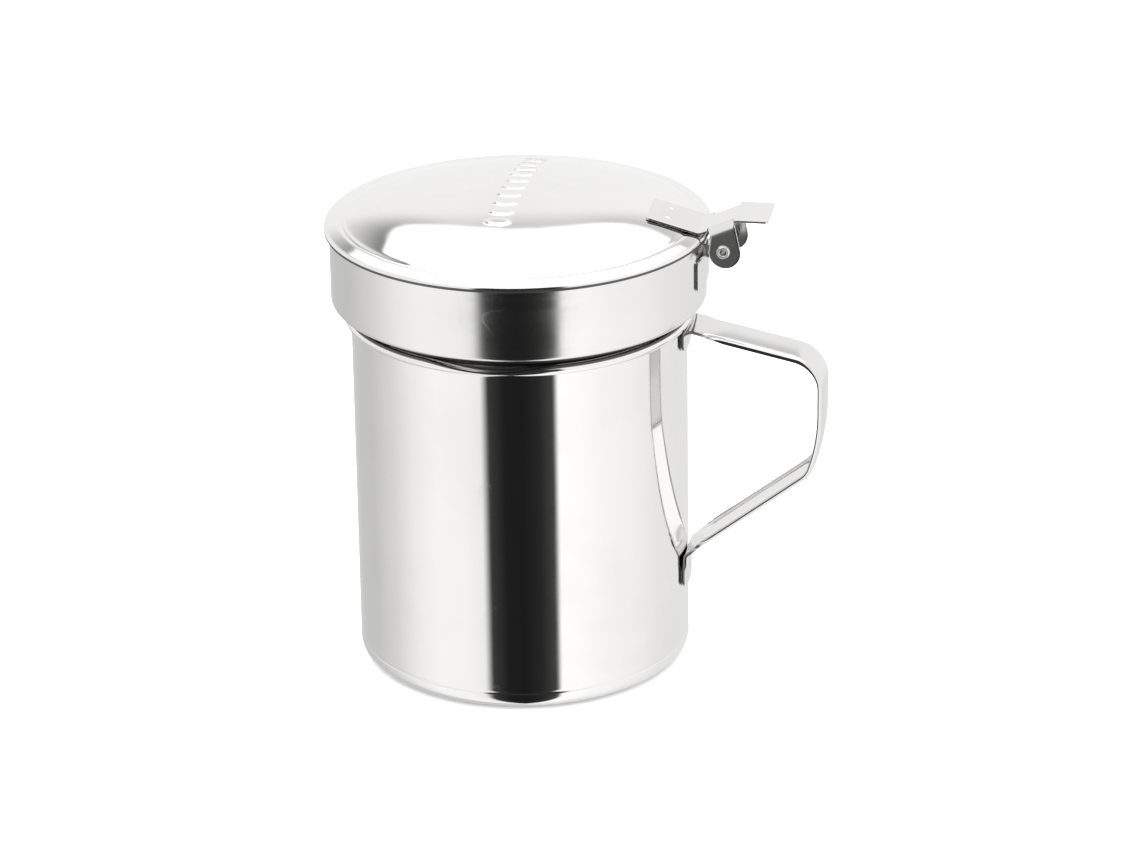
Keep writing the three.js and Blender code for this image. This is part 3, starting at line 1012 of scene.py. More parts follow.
# ---------------------------------------------------------------------------------------------------
# Sieve insert
# ---------------------------------------------------------------------------------------------------
@dataclass
class SieveInsert:
    """The lift-out cup with its wire cloth, clamp ring and hinge bracket."""

    sheet: float = 0.8
    band_corner: float = 1.4
    cone_slope: float = 34.0
    neck_inset: float = 7.5  # neck's outside, inside the band's
    neck_corner: float = 2.0
    ledge: float = 6.2
    # A point of the cone's underside, from the band's top edge.
    cone_seat: tuple[float, float] = (6.683, -27.939)
    sectors: int = 288

    cloth_inset: float = 0.3
    wire_sharp_from: float = 100.0
    wire: float = 0.42
    pitch: float = 1.6
    wire_steps: int = 252

    bracket_sheet: float = 0.7
    plate_height: float = 10.0
    plate_corner: float = 1.4
    neck_fillet: float = 3.0
    knuckle_half: float = 7.6
    knuckle_inside: float = 1.75
    band_gap: float = 0.05
    cheek_drop: float = 1.8
    cheek_reach: float = 1.4
    bracket_ease: float = 0.18
    cheek_ease: float = 0.14
    weld_side: float = 6.8
    weld_rise: float = 5.2
    weld_radius: float = 1.0
    weld_depth: float = 0.2
    ring_width: float = 4.0

    def cup_profile(self, radius: float, bottom: float, top: float) -> Array:
        """Closed profile of the cup: ledge, neck, cone, corner and band, then back inside.

        Args:
            radius: Outside radius of the band.
            bottom: Underside of the ledge.
            top: Top of the band.

        Returns:
            Points (radius, height).
        """
        slope = math.tan(math.radians(self.cone_slope))
        seat_r, seat_z = radius - self.cone_seat[0], top + self.cone_seat[1]

        def cone(r: float) -> float:
            """Height of the cone's underside at a radius."""
            return seat_z + (r - seat_r) * slope

        neck = radius - self.neck_inset
        corner_r = radius - self.band_corner
        corner_z = cone(corner_r) + self.band_corner
        inside = neck - self.sheet
        up = self.sheet / math.cos(math.radians(self.cone_slope))
        half = self.sheet / 2
        return joined(
            line((neck - self.ledge, bottom + 0.1), (neck - self.neck_corner, bottom), 6),
            arc(neck - self.neck_corner, bottom + self.neck_corner, self.neck_corner, -90, 0, 10),
            line((neck, bottom + self.neck_corner), (neck, cone(neck)), 16),
            line((neck, cone(neck)), (corner_r, cone(corner_r)), 12),
            arc(corner_r, corner_z, self.band_corner, -56, 0, 10),
            line((radius, corner_z), (radius, top - half), 40),
            arc(radius - half, top - half, half, 0, 180, 8),
            line((radius - self.sheet, top - half), (radius - self.sheet, corner_z + 0.5), 40),
            line((corner_r, cone(corner_r) + up), (inside, cone(inside) + up), 12),
            line((inside, cone(inside) + up), (inside, bottom + self.neck_corner), 16),
            arc(
                neck - self.neck_corner, bottom + self.neck_corner, self.neck_corner - self.sheet, 0, -90, 8
            ),
            line(
                (neck - self.neck_corner, bottom + self.sheet),
                (neck - self.ledge, bottom + self.sheet + 0.1),
                6,
            ),
        )

    def cup_mesh(self) -> bpy.types.Mesh:
        """The cup turned from its profile.

        Returns:
            The mesh.
        """
        low, high = node_box("sieve_cup")
        body = turned(self.cup_profile(high[0], low[2], high[2]), self.sectors)
        mesh = mesh_of("sieve_cup_shell", body, SHARP_FROM)
        centre, normal = face_vectors(mesh)
        radius = np.hypot(centre[:, 0], centre[:, 1])
        outwards = (centre[:, 0] * normal[:, 0] + centre[:, 1] * normal[:, 1]) / radius
        # Only the cone's underside gets the painted shade, a near-black finish that darkens the gap under the
        # band: the neck below it is finished like the band.
        on_cone = (outwards > 0.1) & (outwards < 0.9) & (centre[:, 2] > high[2] + self.cone_seat[1] - 1)
        painted_shade_faces = (radius < high[0] - self.band_corner) & on_cone
        mesh.polygons.foreach_set("material_index", painted_shade_faces.astype(np.int32))
        return mesh

    def wires(self, radius: float, height: float, along_x: bool) -> Body:
        """One direction of the woven cloth.

        Wire i lies at v = (i + 0.5) pitch and runs over and under by half its thickness:
        z = h + s wire / 2 cos(pi u / pitch + i pi), inside the circle u^2 + v^2 = R^2.

        Args:
            radius: Radius R of the cloth.
            height: Middle height h of the cloth.
            along_x: Whether the wires run along X, or else along Y.

        Returns:
            The wires, as four-sided closed tubes.
        """
        count = int(radius / self.pitch) * 2
        index = np.arange(count) - count / 2
        v = (index + 0.5) * self.pitch
        reach = np.sqrt(radius**2 - v**2)
        u = reach[:, None] * np.linspace(-1, 1, self.wire_steps)[None, :]
        sign = 1.0 if along_x else -1.0
        phase = np.pi * (u / self.pitch + 0.5) + index[:, None] * np.pi
        z = height + sign * self.wire / 2 * np.cos(phase)
        side = np.radians([0, 90, 180, 270])
        v_all = v[:, None, None] + self.wire / 2 * np.cos(side)
        z_all = z[..., None] + self.wire / 2 * np.sin(side)
        u_all = u[..., None] + 0 * z_all
        order = (u_all, v_all + 0 * z_all) if along_x else (v_all + 0 * z_all, u_all)
        vertices = np.stack([*order, z_all], axis=-1).reshape(-1, 3)
        tube = grid_faces(self.wire_steps, 4, close_columns=True)
        last = (self.wire_steps - 1) * 4
        caps = np.array([[3, 2, 1, 0], [last, last + 1, last + 2, last + 3]])
        one = np.concatenate([tube, caps])
        starts = np.arange(count) * self.wire_steps * 4
        return Body(vertices, (one[None, :, :] + starts[:, None, None]).reshape(-1, 4))

    def cloth_mesh(self, name: str, along_x: bool) -> bpy.types.Mesh:
        """One direction of the woven wire cloth as a mesh.

        Args:
            name: Name of the mesh.
            along_x: Whether the wires run along X.

        Returns:
            The mesh.
        """
        low, high = node_box("sieve_mesh")
        body = self.wires(high[0] - self.cloth_inset, (low[2] + high[2]) / 2, along_x)
        return mesh_of(name, body, self.wire_sharp_from)

    def ring_mesh(self) -> bpy.types.Mesh:
        """The clamp ring: a flat ring with a raised, rounded inner edge.

        Returns:
            The mesh.
        """
        low, high = node_box("mesh_ring")
        outer, inner = high[0], high[0] - self.ring_width
        half = (high[2] - low[2]) / 2
        profile = joined(
            line((inner + half, low[2] - 0.1), (outer - 0.2, low[2] - 0.1), 6),
            arc(outer - 0.35, low[2] + 0.35, 0.35, -60, 90, 6),
            line((outer - 0.6, low[2] + 0.7), (inner + 1.8, low[2] + 0.7), 6),
            arc(inner + half, low[2] + half, half, 60, 260, 16),
        )
        return mesh_of("clamp_ring", turned(profile, self.sectors), SHARP_FROM)

    def leg_and_roll(self) -> tuple[float, float]:
        """Place of the bracket's leg along X, and the radius of its roll, both of the sheet's middle."""
        leg_x = node_box("sieve_cup")[1][0] + self.band_gap + self.bracket_sheet / 2
        return leg_x, self.knuckle_inside + self.bracket_sheet / 2

    def bracket_mesh(self, pin_x: float, pin_z: float) -> bpy.types.Mesh:
        """The hinge bracket: a plate that follows the band, a neck, and a knuckle rolled round the pin.

        Its half width is that of a round-cornered plate, then w = k + R - sqrt(R^2 - (R - d)^2) in the
        fillet above it, where d is the distance past the plate, then k.

        Args:
            pin_x: Place of the pin's axis along X.
            pin_z: Its height.

        Returns:
            The mesh.
        """
        low, high = node_box("hinge_bracket")
        half_plate = high[1]
        leg_x, roll = self.leg_and_roll()
        path = BentLine(
            [Corner(leg_x, low[2]), Corner(leg_x, pin_z - roll, 1.5), Corner(pin_x, pin_z - roll)],
            curl=arc(pin_x, pin_z, roll, -90, 215, 60),
        )
        top = self.plate_height
        reach = spaced(
            (0, 1.4, 10),
            (1.4, top - 1.4, 18),
            (top - 1.4, top, 12),
            (top, top + self.neck_fillet, 16),
            (top + self.neck_fillet, path.length, 70),
        )
        plate = np.minimum(
            round_ended(reach, half_plate, self.plate_corner),
            round_ended(top - reach, half_plate, self.plate_corner),
        )
        past = np.clip(reach - top, 0, self.neck_fillet)
        fillet = self.knuckle_half + self.neck_fillet - np.sqrt(
            self.neck_fillet**2 - (self.neck_fillet - past) ** 2
        )
        width = np.where(reach <= top, plate, fillet)
        unit = np.linspace(-1, 1, 61)[None, :]
        across = width[:, None] * unit
        grid = path.surface(reach, across, np.zeros_like(across))
        follow = (1 - smooth((reach - top) / 3.0))[:, None]
        grid[..., 0] -= follow * (leg_x - np.sqrt(leg_x**2 - across**2))
        welds = [(side * self.weld_side, low[2] + self.weld_rise) for side in (-1.0, 1.0)]
        on_plate = (reach < top)[:, None]
        dents = dimples(grid[..., 1], grid[..., 2], welds, self.weld_radius, self.weld_depth)
        grid[..., 0] -= on_plate * dents
        middle = Body(grid.reshape(-1, 3), grid_faces(len(reach), unit.shape[1]))
        return sheet_mesh("bracket", middle, self.bracket_sheet, self.bracket_ease)

    def cheek_mesh(self, pin_x: float, pin_z: float) -> bpy.types.Mesh:
        """The two cheeks that stiffen the bracket's neck up to the band's top.

        Args:
            pin_x: Place of the pin's axis along X.
            pin_z: Its height.

        Returns:
            The mesh.
        """
        leg_x, roll = self.leg_and_roll()
        cheek_top = node_box("sieve_cup")[1][2] - self.cheek_drop
        knuckle = arc(pin_x, pin_z, roll, 258, 165, 14)
        right = joined(knuckle, line(knuckle[-1], (leg_x + self.cheek_reach, cheek_top), 6))
        left = line((leg_x, pin_z - roll), (leg_x, cheek_top), len(right) - 1)
        cheek_y = self.knuckle_half - self.bracket_sheet / 2
        sheets = [ruled_sheet(left, right, side * cheek_y) for side in (-1.0, 1.0)]
        return sheet_mesh("bracket_cheeks", Body.merged(sheets), self.bracket_sheet, self.cheek_ease)

    def build(self, wardrobe: Wardrobe) -> None:
        """Makes the insert's pieces and dresses them.

        Args:
            wardrobe: The finishes.
        """
        body = "sieve_insert"
        pin_low, pin_high = node_box("hinge_pin")
        pin = (pin_low + pin_high) / 2
        wardrobe.piece("sieve_cup_shell", self.cup_mesh(), body, "sieve_cup", "satin_steel", SATIN, PAINTED_SHADE)
        for name, along_x in (("cloth_warp", True), ("cloth_weft", False)):
            cloth = self.cloth_mesh(name, along_x)
            wardrobe.piece(name, cloth, body, "sieve_mesh", "mesh_wire", WIRE)
        wardrobe.piece("clamp_ring", self.ring_mesh(), body, "mesh_ring", "satin_steel", SATIN)
        bracket = self.bracket_mesh(pin[0], pin[2])
        wardrobe.piece("bracket", bracket, body, "hinge_bracket", "hinge_steel", HINGE, SHEARED_EDGE_AND_SHADE)
        cheeks = self.cheek_mesh(pin[0], pin[2])
        # The cheeks get the darker edge finish on every face: painted shade for the shadowed space beside the
        # bracket's ear.
        wardrobe.piece(
            "bracket_cheeks", cheeks, body, "hinge_bracket", "hinge_steel", SHEARED_EDGE_AND_SHADE, SHEARED_EDGE_AND_SHADE
        )


# ---------------------------------------------------------------------------------------------------
# Lid
# ---------------------------------------------------------------------------------------------------
@dataclass
class Lid:
    """The domed lid, its thumb lever and the rivet that both swing on."""

    sheet: float = 0.8
    flange: float = 5.8
    dome: float = 10.0
    edge_corner: float = 0.9
    painted_shade_height: float = 0.9  # height of the band under the rim painted near-black as shade for the gap below the lid's edge
    flange_rise: float = 1.2  # from the lid's edge up to the crease
    crease: float = 0.5  # half width of the eased crease between dome and flange
    groove_depth: float = 0.1
    groove_half: float = 0.9
    sectors: int = 400

    mark_row: float = -1.4  # row of pressed marks, across the lid
    mark_first: float = -26.0
    mark_last: float = 42.0
    mark_pitch: float = 6.8
    mark_half_length: float = 3.8
    mark_half_width: float = 2.0
    mark_height: float = 0.42

    lever_sheet: float = 0.75
    lever_gap: float = 0.08  # between the lid and the lever welded on it
    lever_inset: float = 2.2  # the lever's bend, inside the lid's edge
    crest_out: float = 3.8
    bend_radius: float = 3.0
    fold_radius: float = 2.2
    ear_radius: float = 5.1
    ear_out: float = 0.4
    ear_drop: float = 0.4
    pin_hole: float = 1.68
    weld_reach: float = 6.2  # welds, from the lever's inner end
    weld_side: float = 4.0
    weld_radius: float = 0.95
    weld_depth: float = 0.24
    tab_corner: float = 1.2
    notch: float = 0.25  # relief cut beside each ear
    lever_ease: float = 0.16

    shank: float = 1.5  # outside radius of the rivet's tube
    bore: float = 0.95
    flare: float = 0.62  # half height of its rolled head

    def marks(self, x: Array, y: Array) -> Array:
        """Height of the row of pressed ovals: eased over the oval's edge q = 1.

        q is ((x - row) / a)^2 + ((y - nearest centre) / b)^2.

        Args:
            x: Places along X.
            y: Places along Y.

        Returns:
            The height at each place.
        """
        count = round((self.mark_last - self.mark_first) / self.mark_pitch)
        number = np.clip(np.round((y - self.mark_first) / self.mark_pitch), 0, count)
        centre = self.mark_first + number * self.mark_pitch
        q = ((x - self.mark_row) / self.mark_half_length) ** 2 + ((y - centre) / self.mark_half_width) ** 2
        return self.mark_height * smooth((1.3 - q) / 0.6)

    def top_height(self, radius: Array, edge: float) -> Array:
        """Height of the lid's top above its edge, summed up from its slope.

        The slope is r / sqrt(S^2 - r^2) on the dome, a cap of a sphere of radius S, and even on the
        flange, eased from one to the other over the crease. A groove takes off depth times
        exp(-((r - crease) / half)^2).

        Args:
            radius: Distance from the lid's axis.
            edge: Outside radius of the lid.

        Returns:
            The height.
        """
        crease, rise = edge - self.flange, self.dome - self.flange_rise
        sphere = (crease**2 + rise**2) / (2 * rise)
        fine = np.linspace(0, edge, 6001)
        cap = fine / np.sqrt(sphere**2 - fine**2)
        flat = self.flange_rise / (self.flange - self.edge_corner)
        share = smooth((fine - crease) / (2 * self.crease) + 0.5)
        slope = cap + share * (flat - cap)
        fall = np.concatenate([[0], np.cumsum((slope[1:] + slope[:-1]) / 2 * np.diff(fine))])
        height = np.interp(edge - self.edge_corner, fine, fall) - fall
        groove = self.groove_depth * np.exp(-(((radius - crease) / self.groove_half) ** 2))
        return np.interp(radius, fine, height) - groove

    def dome_mesh(self) -> bpy.types.Mesh:
        """The lid as a turned profile, pressed with the row of marks from below.

        Returns:
            The mesh.
        """
        low, high = node_box("lid_dome")
        edge, rim = high[0], high[2] - self.dome
        crease = edge - self.flange
        r_top = spaced((edge - self.edge_corner, crease - 3, 34), (crease - 3, 0, 104))
        r_under = spaced((0, crease - 3, 46), (crease - 3, edge - self.sheet - 0.4, 22))
        corner = arc(edge - self.edge_corner, rim - self.edge_corner, self.edge_corner, 0, 90, 8)
        profile = joined(
            np.stack([r_under, rim - self.sheet + self.top_height(r_under, edge)], axis=1),
            arc(edge - self.sheet - 0.4, rim - self.sheet - 0.4, 0.4, 90, 0, 4),
            line((edge - self.sheet, rim - self.sheet - 0.4), (edge - self.sheet, low[2] + 0.3), 3),
            arc(edge - self.sheet / 2, low[2] + self.sheet / 2, self.sheet / 2, 180, 360, 8),
            corner,
            np.stack([r_top, rim + self.top_height(r_top, edge)], axis=1),
        )
        body = turned(profile, self.sectors)
        x, y, z = body.vertices.T
        body.vertices = np.stack([x, y, z + self.marks(x, y)], axis=1)
        mesh = mesh_of("lid", body, SHARP_FROM)
        centre, normal = face_vectors(mesh)
        # Painted shade: the lid's lower edge and inside get the near-black finish, a dark line for the gap
        # under the rim.
        painted_shade_faces = (centre[:, 2] < low[2] + self.painted_shade_height) & (normal[:, 2] < 0.5)
        mesh.polygons.foreach_set("material_index", painted_shade_faces.astype(np.int32))
        return mesh

    def lever_line(self, edge: float, rim: float, pin_x: float) -> BentLine:
        """The lever's middle line: over the lid, down to its edge, up to the crest, out along the pad.

        Args:
            edge: Outside radius of the lid.
            rim: Height of the lid's edge.
            pin_x: Place of the pin's axis.

        Returns:
            The line.
        """
        low, high = node_box("thumb_lever")
        half = self.lever_sheet / 2
        bend_x = edge - self.lever_inset
        lid_top = rim + self.top_height(np.array([low[0], bend_x]), edge)
        inner_z, bend_z = (lid_top + self.lever_gap + half).tolist()
        return BentLine(
            [
                Corner(low[0], inner_z),
                Corner(bend_x, bend_z, self.bend_radius),
                Corner(pin_x + self.crest_out, high[2] - half, self.bend_radius),
                Corner(high[0], high[2] - half),
            ]
        )

    def ear(self, side: float, top: Array, fold_y: float, pin: Array) -> Body:
        """One ear: rings from the pin's hole to its outline, and the fold up to the lever.

        The outline runs along the fold, down to the round end and back up. Ring t is the mix
        (1 - t) hole + t outline, where each hole point lies on the ray to its outline point.

        Args:
            side: +1 or -1, the side of the lever.
            top: Points (x, z) of the fold line's lower edge, from the lid outwards.
            fold_y: Place across the lever where the fold starts.
            pin: Place of the pin's axis (x, z).

        Returns:
            The ear's middle surface.
        """
        centre = pin + np.array([self.ear_out, -self.ear_drop])
        bottom = arc(centre[0], centre[1], self.ear_radius - 0.02, 8, -188, 48)
        right = np.linspace(top[-1], bottom[0], 9)[1:-1]
        left = np.linspace(bottom[-1], top[0], 9)[1:-1]
        outline = np.concatenate([top, right, bottom, left])
        ray = outline - pin
        hole = pin + self.pin_hole * ray / np.linalg.norm(ray, axis=1, keepdims=True)
        share = np.linspace(0, 1, 9)[:, None, None]
        rings = (1 - share) * hole[None] + share * outline[None]
        y = np.full(rings.shape[:2], side * (fold_y + self.fold_radius))
        plate = Body(
            np.stack([rings[..., 0], y, rings[..., 1]], axis=-1).reshape(-1, 3),
            grid_faces(9, len(outline), close_columns=True),
        )
        along = top[-1] - top[0]
        up = np.array([-along[1], along[0]]) / np.linalg.norm(along)
        angle = np.linspace(0, np.pi / 2, 7)[:, None]
        lifted = top[None] + (self.fold_radius * np.sin(angle))[..., None] * up
        fold_side = side * (fold_y + self.fold_radius * np.cos(angle)) + 0 * lifted[..., 0]
        fold = np.stack([lifted[..., 0], fold_side, lifted[..., 1]], axis=-1)
        return Body.merged([plate, Body(fold.reshape(-1, 3), grid_faces(7, len(top)))])

    def lever_mesh(self, pin: Array) -> bpy.types.Mesh:
        """The thumb lever: one bent strip with an ear folded down at each side.

        Args:
            pin: Place of the pin's axis (x, z).

        Returns:
            The mesh.
        """
        lid_high = node_box("lid_dome")[1]
        edge, half = lid_high[0], node_box("thumb_lever")[1][1]
        path = self.lever_line(edge, lid_high[2] - self.dome, pin[0])
        fold_y = half - self.lever_sheet / 2 - self.fold_radius
        start = path.reach_at_x(edge + 0.55)
        stop = path.reach_at_x(pin[0] + self.crest_out - 0.9)
        ear_reach = np.linspace(start, stop, 17)
        inner_reach = spaced((0, 1.2, 9), (1.2, start - self.notch, 44))
        near_end = path.length - 1.6
        outer_reach = spaced((stop + self.notch, near_end, 26), (near_end, path.length, 12))
        reach = np.concatenate([inner_reach, ear_reach, outer_reach])
        ends = np.where(reach < path.length / 2, reach, path.length - reach)
        limit = round_ended(ends, half, self.tab_corner)
        middle_half = np.minimum(limit, fold_y)
        unit = np.linspace(-1, 1, 41)[None, :]
        across = middle_half[:, None] * unit
        weld_x = path.at(np.array([self.weld_reach]))[0][0, 0]
        welds = [(weld_x, -self.weld_side), (weld_x, self.weld_side)]

        def strip(rows: Array, places: Array) -> Body:
            """Part of the lever's strip, with the weld dimples pressed into it."""
            flat = path.surface(rows, places, np.zeros_like(places))
            lift = -dimples(flat[..., 0], flat[..., 1], welds, self.weld_radius, self.weld_depth)
            grid = path.surface(rows, places, lift)
            return Body(grid.reshape(-1, 3), grid_faces(len(rows), places.shape[1]))

        parts = [strip(reach, across)]
        wings = ((inner_reach, limit[: len(inner_reach)]), (outer_reach, limit[-len(outer_reach) :]))
        for rows, bound in wings:
            margin = np.maximum(bound, fold_y)
            inside = np.minimum(bound, fold_y)
            for side in (-1.0, 1.0):
                share = np.linspace(0, 1, 5)[None, :]
                places = side * (inside[:, None] + (margin - inside)[:, None] * share)
                parts.append(strip(rows, places))
        point, normal = path.at(ear_reach)
        top = point - self.fold_radius * normal
        parts += [self.ear(side, top, fold_y, pin) for side in (-1.0, 1.0)]
        return sheet_mesh("lever", Body.merged(parts), self.lever_sheet, self.lever_ease)

    def rivet_mesh(self, pin: Array) -> bpy.types.Mesh:
        """The tubular rivet: a tube whose ends are flared and rolled over, turned round the pin's axis.

        Args:
            pin: Place of the pin's axis (x, z).

        Returns:
            The mesh.
        """
        low, high = node_box("hinge_pin")
        end, head = high[1], (high[0] - low[0]) / 2
        roll, middle = (head - self.bore) / 2, (head + self.bore) / 2
        ring = arc(0, 0, 1, -50, 180, 20) * np.array([roll, self.flare])
        half = joined(
            line((self.shank, 0), (self.shank, end - 1.1), 8),
            ring + np.array([middle, end - self.flare]),
            line((self.bore, end - self.flare), (self.bore, 0), 8),
        )
        mirrored = half[::-1] * np.array([1, -1])
        body = turned(joined(half, mirrored), 48)
        x, y, z = body.vertices.T
        body.vertices = np.stack([x + pin[0], z, y + pin[1]], axis=1)
        return mesh_of("rivet", body, SHARP_FROM)

    def build(self, wardrobe: Wardrobe) -> None:
        """Makes the lid's pieces and dresses them.

        Args:
            wardrobe: The finishes.
        """
        pin_low, pin_high = node_box("hinge_pin")
        pin = ((pin_low + pin_high) / 2)[[0, 2]]
        wardrobe.piece("lid_shell", self.dome_mesh(), "lid", "lid_dome", "lid_steel", LID_MIRROR, PAINTED_SHADE)
        wardrobe.piece("lever", self.lever_mesh(pin), "lid", "thumb_lever", "hinge_steel", HINGE, SHEARED_EDGE_AND_SHADE)
        wardrobe.piece("rivet", self.rivet_mesh(pin), "lid", "hinge_pin", "pin_steel", RIVET)


# ---------------------------------------------------------------------------------------------------
# Studio
# ---------------------------------------------------------------------------------------------------
@dataclass
class Studio:
    """A white light tent round a pale table: a camera slot in front, a bright box overhead."""

    azimuth: float = 11.0  # camera's place round the mug, from -Y towards +X
    elevation: float = 22.84
    distance: float = 1476.5
    aim_height: float = 75.0
    roll: float = 1.06
    pan: float = -0.609  # the mug stands a little left of the middle
    tilt: float = -0.011
    lens: float = 143.77
    table_radius: float = 6000.0
    table_drop: float = 0.4  # below the mug's underside, so that the two don't touch
    table_sides: int = 120
    # Brightness of the tent's wall: (degrees round from the camera, right positive, brightness).
    wall: tuple[tuple[float, float], ...] = field(
        default=(
            (-180, 0.70), (-150, 0.60), (-125, 0.60), (-100, 0.74), (-80, 0.93), (-62, 1.02), (-40, 1.0),
            (-28, 0.93), (-23, 0.045), (-12, 0.014), (0, 0.012), (12, 0.022), (22, 0.06), (25, 1.12),
            (40, 1.1), (60, 1.02), (80, 0.98), (105, 0.88), (140, 0.84), (180, 0.8),
        )
    )
    # Lower edge of the overhead box: (degrees round from straight behind, elevation).
    box_edge: tuple[tuple[float, float], ...] = field(
        default=(
            (-180, 60), (-40, 60), (-23, 46), (-20.5, 39), (-17, 34), (-14.5, 29.5), (-13, 29.3),
            (-9.7, 33.6), (-6, 37), (-1.5, 39.2), (3, 38.9), (7, 36.7), (10.2, 33.6), (13.1, 31),
            (16, 30.5), (22, 33), (40, 45), (180, 60),
        )
    )
    # Darkness of the wall just under that edge: (degrees round from straight behind, share lost).
    shade: tuple[tuple[float, float], ...] = field(
        default=(
            (-180, 0.0), (-60, 0.25), (-30, 0.8), (-16, 0.85), (-12.5, 0.5), (-8, 0.3), (0, 0.42), (8, 0.38),
            (14, 0.45), (22, 0.45), (50, 0.3), (180, 0.0),
        )
    )

    def camera(self) -> None:
        """Places the camera: turned round the mug, raised, rolled, then panned off the aim."""
        rise, turn = math.radians(self.elevation), Matrix.Rotation(math.radians(self.azimuth), 4, "Z")
        place = Matrix.Translation(
            (0, -self.distance * math.cos(rise) * MM, (self.aim_height + self.distance * math.sin(rise)) * MM)
        )
        look = Matrix.Rotation(math.pi / 2 - rise, 4, "X")
        roll = Matrix.Rotation(-math.radians(self.roll), 4, "Z")
        off = Matrix.Rotation(-math.radians(self.tilt), 4, "X")
        off = off @ Matrix.Rotation(math.radians(self.pan), 4, "Y")
        data = bpy.data.cameras.new("camera")
        data.lens = self.lens
        data.sensor_width = 36.0
        data.clip_start, data.clip_end = 0.05, 30.0
        camera = bpy.data.objects.new("camera", data)
        camera.matrix_world = turn @ place @ look @ roll @ off
        bpy.context.scene.collection.objects.link(camera)
        bpy.context.scene.camera = camera

    def chart(
        self,
        tools: NodeTools,
        angle: Socket,
        stops: Sequence[tuple[float, float]],
        peak: float,
        scale: float = 0.0,
    ) -> Socket:
        """A value that changes with an angle round the mug, joined straight between its stops.

        Args:
            tools: Tools for the shader's tree.
            angle: The angle, in radians from -pi to pi.
            stops: Pairs of an angle in degrees and a value.
            peak: A number that no value is over.
            scale: What a value of peak gives, or 0 for peak itself.

        Returns:
            The value's socket.
        """
        ramp = tools.add("ShaderNodeValToRGB")
        ramp.color_ramp.interpolation = "LINEAR"
        for i, (degrees, value) in enumerate(stops):
            place, share = 0.5 + degrees / 360, value / peak
            stop = ramp.color_ramp.elements[i] if i < 2 else ramp.color_ramp.elements.new(place)
            stop.position = place
            stop.color = (share, share, share, 1)
        tools.feed(ramp.inputs[0], tools.math("MULTIPLY_ADD", angle, 1 / (2 * math.pi), 0.5))
        return tools.math("MULTIPLY", ramp.outputs[0], scale or peak)

    def tent(self) -> None:
        """World shader: the tent's brightness by direction for reflections, plain white for the rest."""
        world = bpy.data.worlds.new("light_tent")
        world.use_nodes = True
        world.node_tree.nodes.clear()
        bpy.context.scene.world = world
        tools = NodeTools(world.node_tree)
        mapping = tools.add("ShaderNodeMapping", vector_type="POINT")
        mapping.inputs["Rotation"].default_value = (0, 0, -math.radians(self.azimuth))
        tools.feed(mapping.inputs["Vector"], tools.add("ShaderNodeTexCoord").outputs["Generated"])
        split = tools.add("ShaderNodeSeparateXYZ")
        tools.feed(split.inputs[0], mapping.outputs[0])
        right, back, up = split.outputs
        front = tools.math("MULTIPLY", back, -1.0)
        round_front = tools.math("ARCTAN2", right, front)
        round_back = tools.math("ARCTAN2", right, back)
        rise = tools.math("ARCSINE", up)

        low_wall = self.chart(tools, round_front, self.wall, 1.2)

        # Above the table's level the wall is evenly lit, a little brighter towards the right.
        slot = tools.span(tools.math("ABSOLUTE", round_front), math.radians(24), math.radians(30), 0.03, 1.0)
        even = tools.math("MULTIPLY_ADD", right, 0.05, 0.95)
        high_wall = tools.math("MULTIPLY", even, slot)
        level = tools.span(rise, math.radians(-21), math.radians(-8), 0.0, 1.0)
        rest = tools.math("MULTIPLY", level, tools.math("SUBTRACT", high_wall, low_wall))
        wall = tools.math("ADD", low_wall, rest)

        # The overhead box, and the wall's shade that deepens towards the box's edge.
        over = tools.math("SUBTRACT", rise, self.chart(tools, round_back, self.box_edge, 90.0, math.pi / 2))
        box = tools.span(over, math.radians(-0.5), math.radians(0.7), 0.0, 1.0)
        depth = self.chart(tools, round_back, self.shade, 1.0)
        width = tools.math("MULTIPLY_ADD", depth, math.radians(20), math.radians(0.5))
        away = tools.math("DIVIDE", tools.math("ABSOLUTE", over), width)
        near = tools.math("SUBTRACT", 1.0, away, clamp=True)
        seam = tools.math("SUBTRACT", 1.0, tools.math("MULTIPLY", tools.math("POWER", near, 1.5), depth))
        shaded = tools.math("MULTIPLY", wall, seam)
        bright = tools.math("ADD", shaded, tools.math("MULTIPLY", box, tools.math("SUBTRACT", 1.3, shaded)))

        path = tools.add("ShaderNodeLightPath")
        plain = tools.math("MULTIPLY_ADD", path.outputs["Is Camera Ray"], -1.15, 2.2)
        is_plain = tools.math("MAXIMUM", path.outputs["Is Camera Ray"], path.outputs["Is Diffuse Ray"])
        strength = tools.math(
            "ADD", bright, tools.math("MULTIPLY", is_plain, tools.math("SUBTRACT", plain, bright))
        )
        background = tools.add("ShaderNodeBackground")
        background.inputs["Color"].default_value = (1.0, 0.998, 0.995, 1)
        tools.feed(background.inputs["Strength"], strength)
        out = tools.add("ShaderNodeOutputWorld")
        tools.feed(out.inputs["Surface"], background.outputs[0])

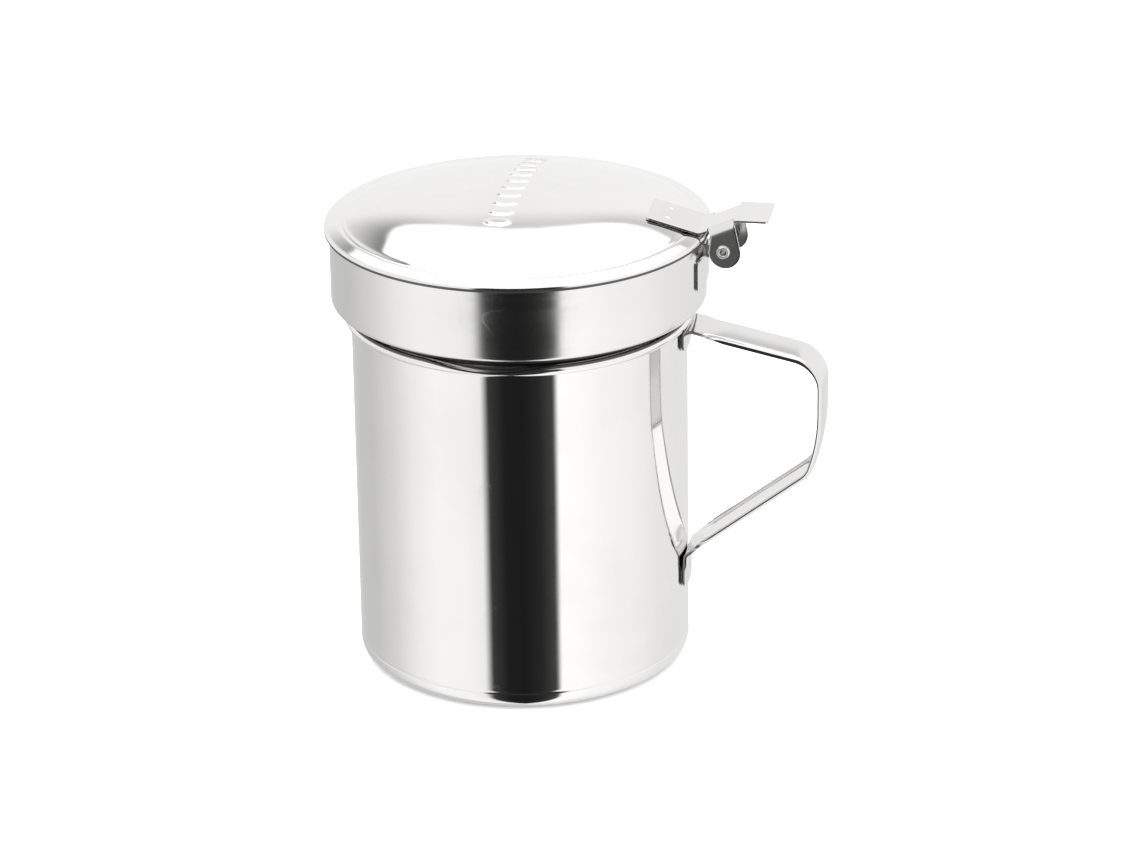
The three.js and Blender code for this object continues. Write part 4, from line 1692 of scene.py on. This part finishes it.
    def table(self) -> None:
        """The pale table: a plain disc of matt white that mirrors do not see, as the tent covers it."""
        sides, top = self.table_sides, -self.table_drop
        rim = arc(0, 0, self.table_radius, 0, 360 - 360 / sides, sides - 1)
        rim = np.pad(rim, ((0, 0), (0, 1)), constant_values=top)
        body = Body(
            np.concatenate([[[0, 0, top]], rim]),
            np.array([[0, i + 1, (i + 1) % sides + 1] for i in range(sides)]),
        )
        mesh = bpy.data.meshes.new("table")
        mesh.from_pydata((body.vertices * MM).tolist(), [], body.faces.tolist())
        material = bpy.data.materials.new("pale_table")
        material.use_nodes = True
        shader = material.node_tree.nodes["Principled BSDF"]
        shader.inputs["Base Color"].default_value = (0.93, 0.93, 0.93, 1)
        shader.inputs["Roughness"].default_value = 0.9
        shader.inputs["Specular IOR Level"].default_value = 0.0
        mesh.materials.append(material)
        table = bpy.data.objects.new("table", mesh)
        bpy.context.scene.collection.objects.link(table)
        table.visible_glossy = False

    def lamp(self) -> None:
        """A broad soft lamp overhead that softens the table's shading."""
        data = bpy.data.lights.new("soft_lamp", "AREA")
        data.shape = "DISK"
        data.size = 1.6
        data.energy = 6.0
        lamp = bpy.data.objects.new("soft_lamp", data)
        lamp.location = (0.0, 0.2, 1.4)
        lamp.visible_glossy = False
        bpy.context.scene.collection.objects.link(lamp)

    def build(self) -> None:
        """Sets up the tent, table, lamp and camera."""
        self.camera()
        self.tent()
        self.table()
        self.lamp()
        bpy.context.scene.view_settings.view_transform = "Standard"


def corners(bounds: tuple) -> list[list[float]]:
    """A box's two corners as plain lists.


    Returns:
        The lowest and the highest corner.
    """
    return [[float(v) for v in corner] for corner in bounds]


def main() -> None:
    """Loads the frame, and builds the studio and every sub-assembly."""
    logging.basicConfig(level=logging.INFO, format="%(name)s: %(message)s")
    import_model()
    Studio().build()
    wardrobe = Wardrobe()
    for assembly in (Mug(), SieveInsert(), Lid()):
        LOG.info("building %s", type(assembly).__name__)
        assembly.build(wardrobe)


if __name__ == "__main__":
    main()
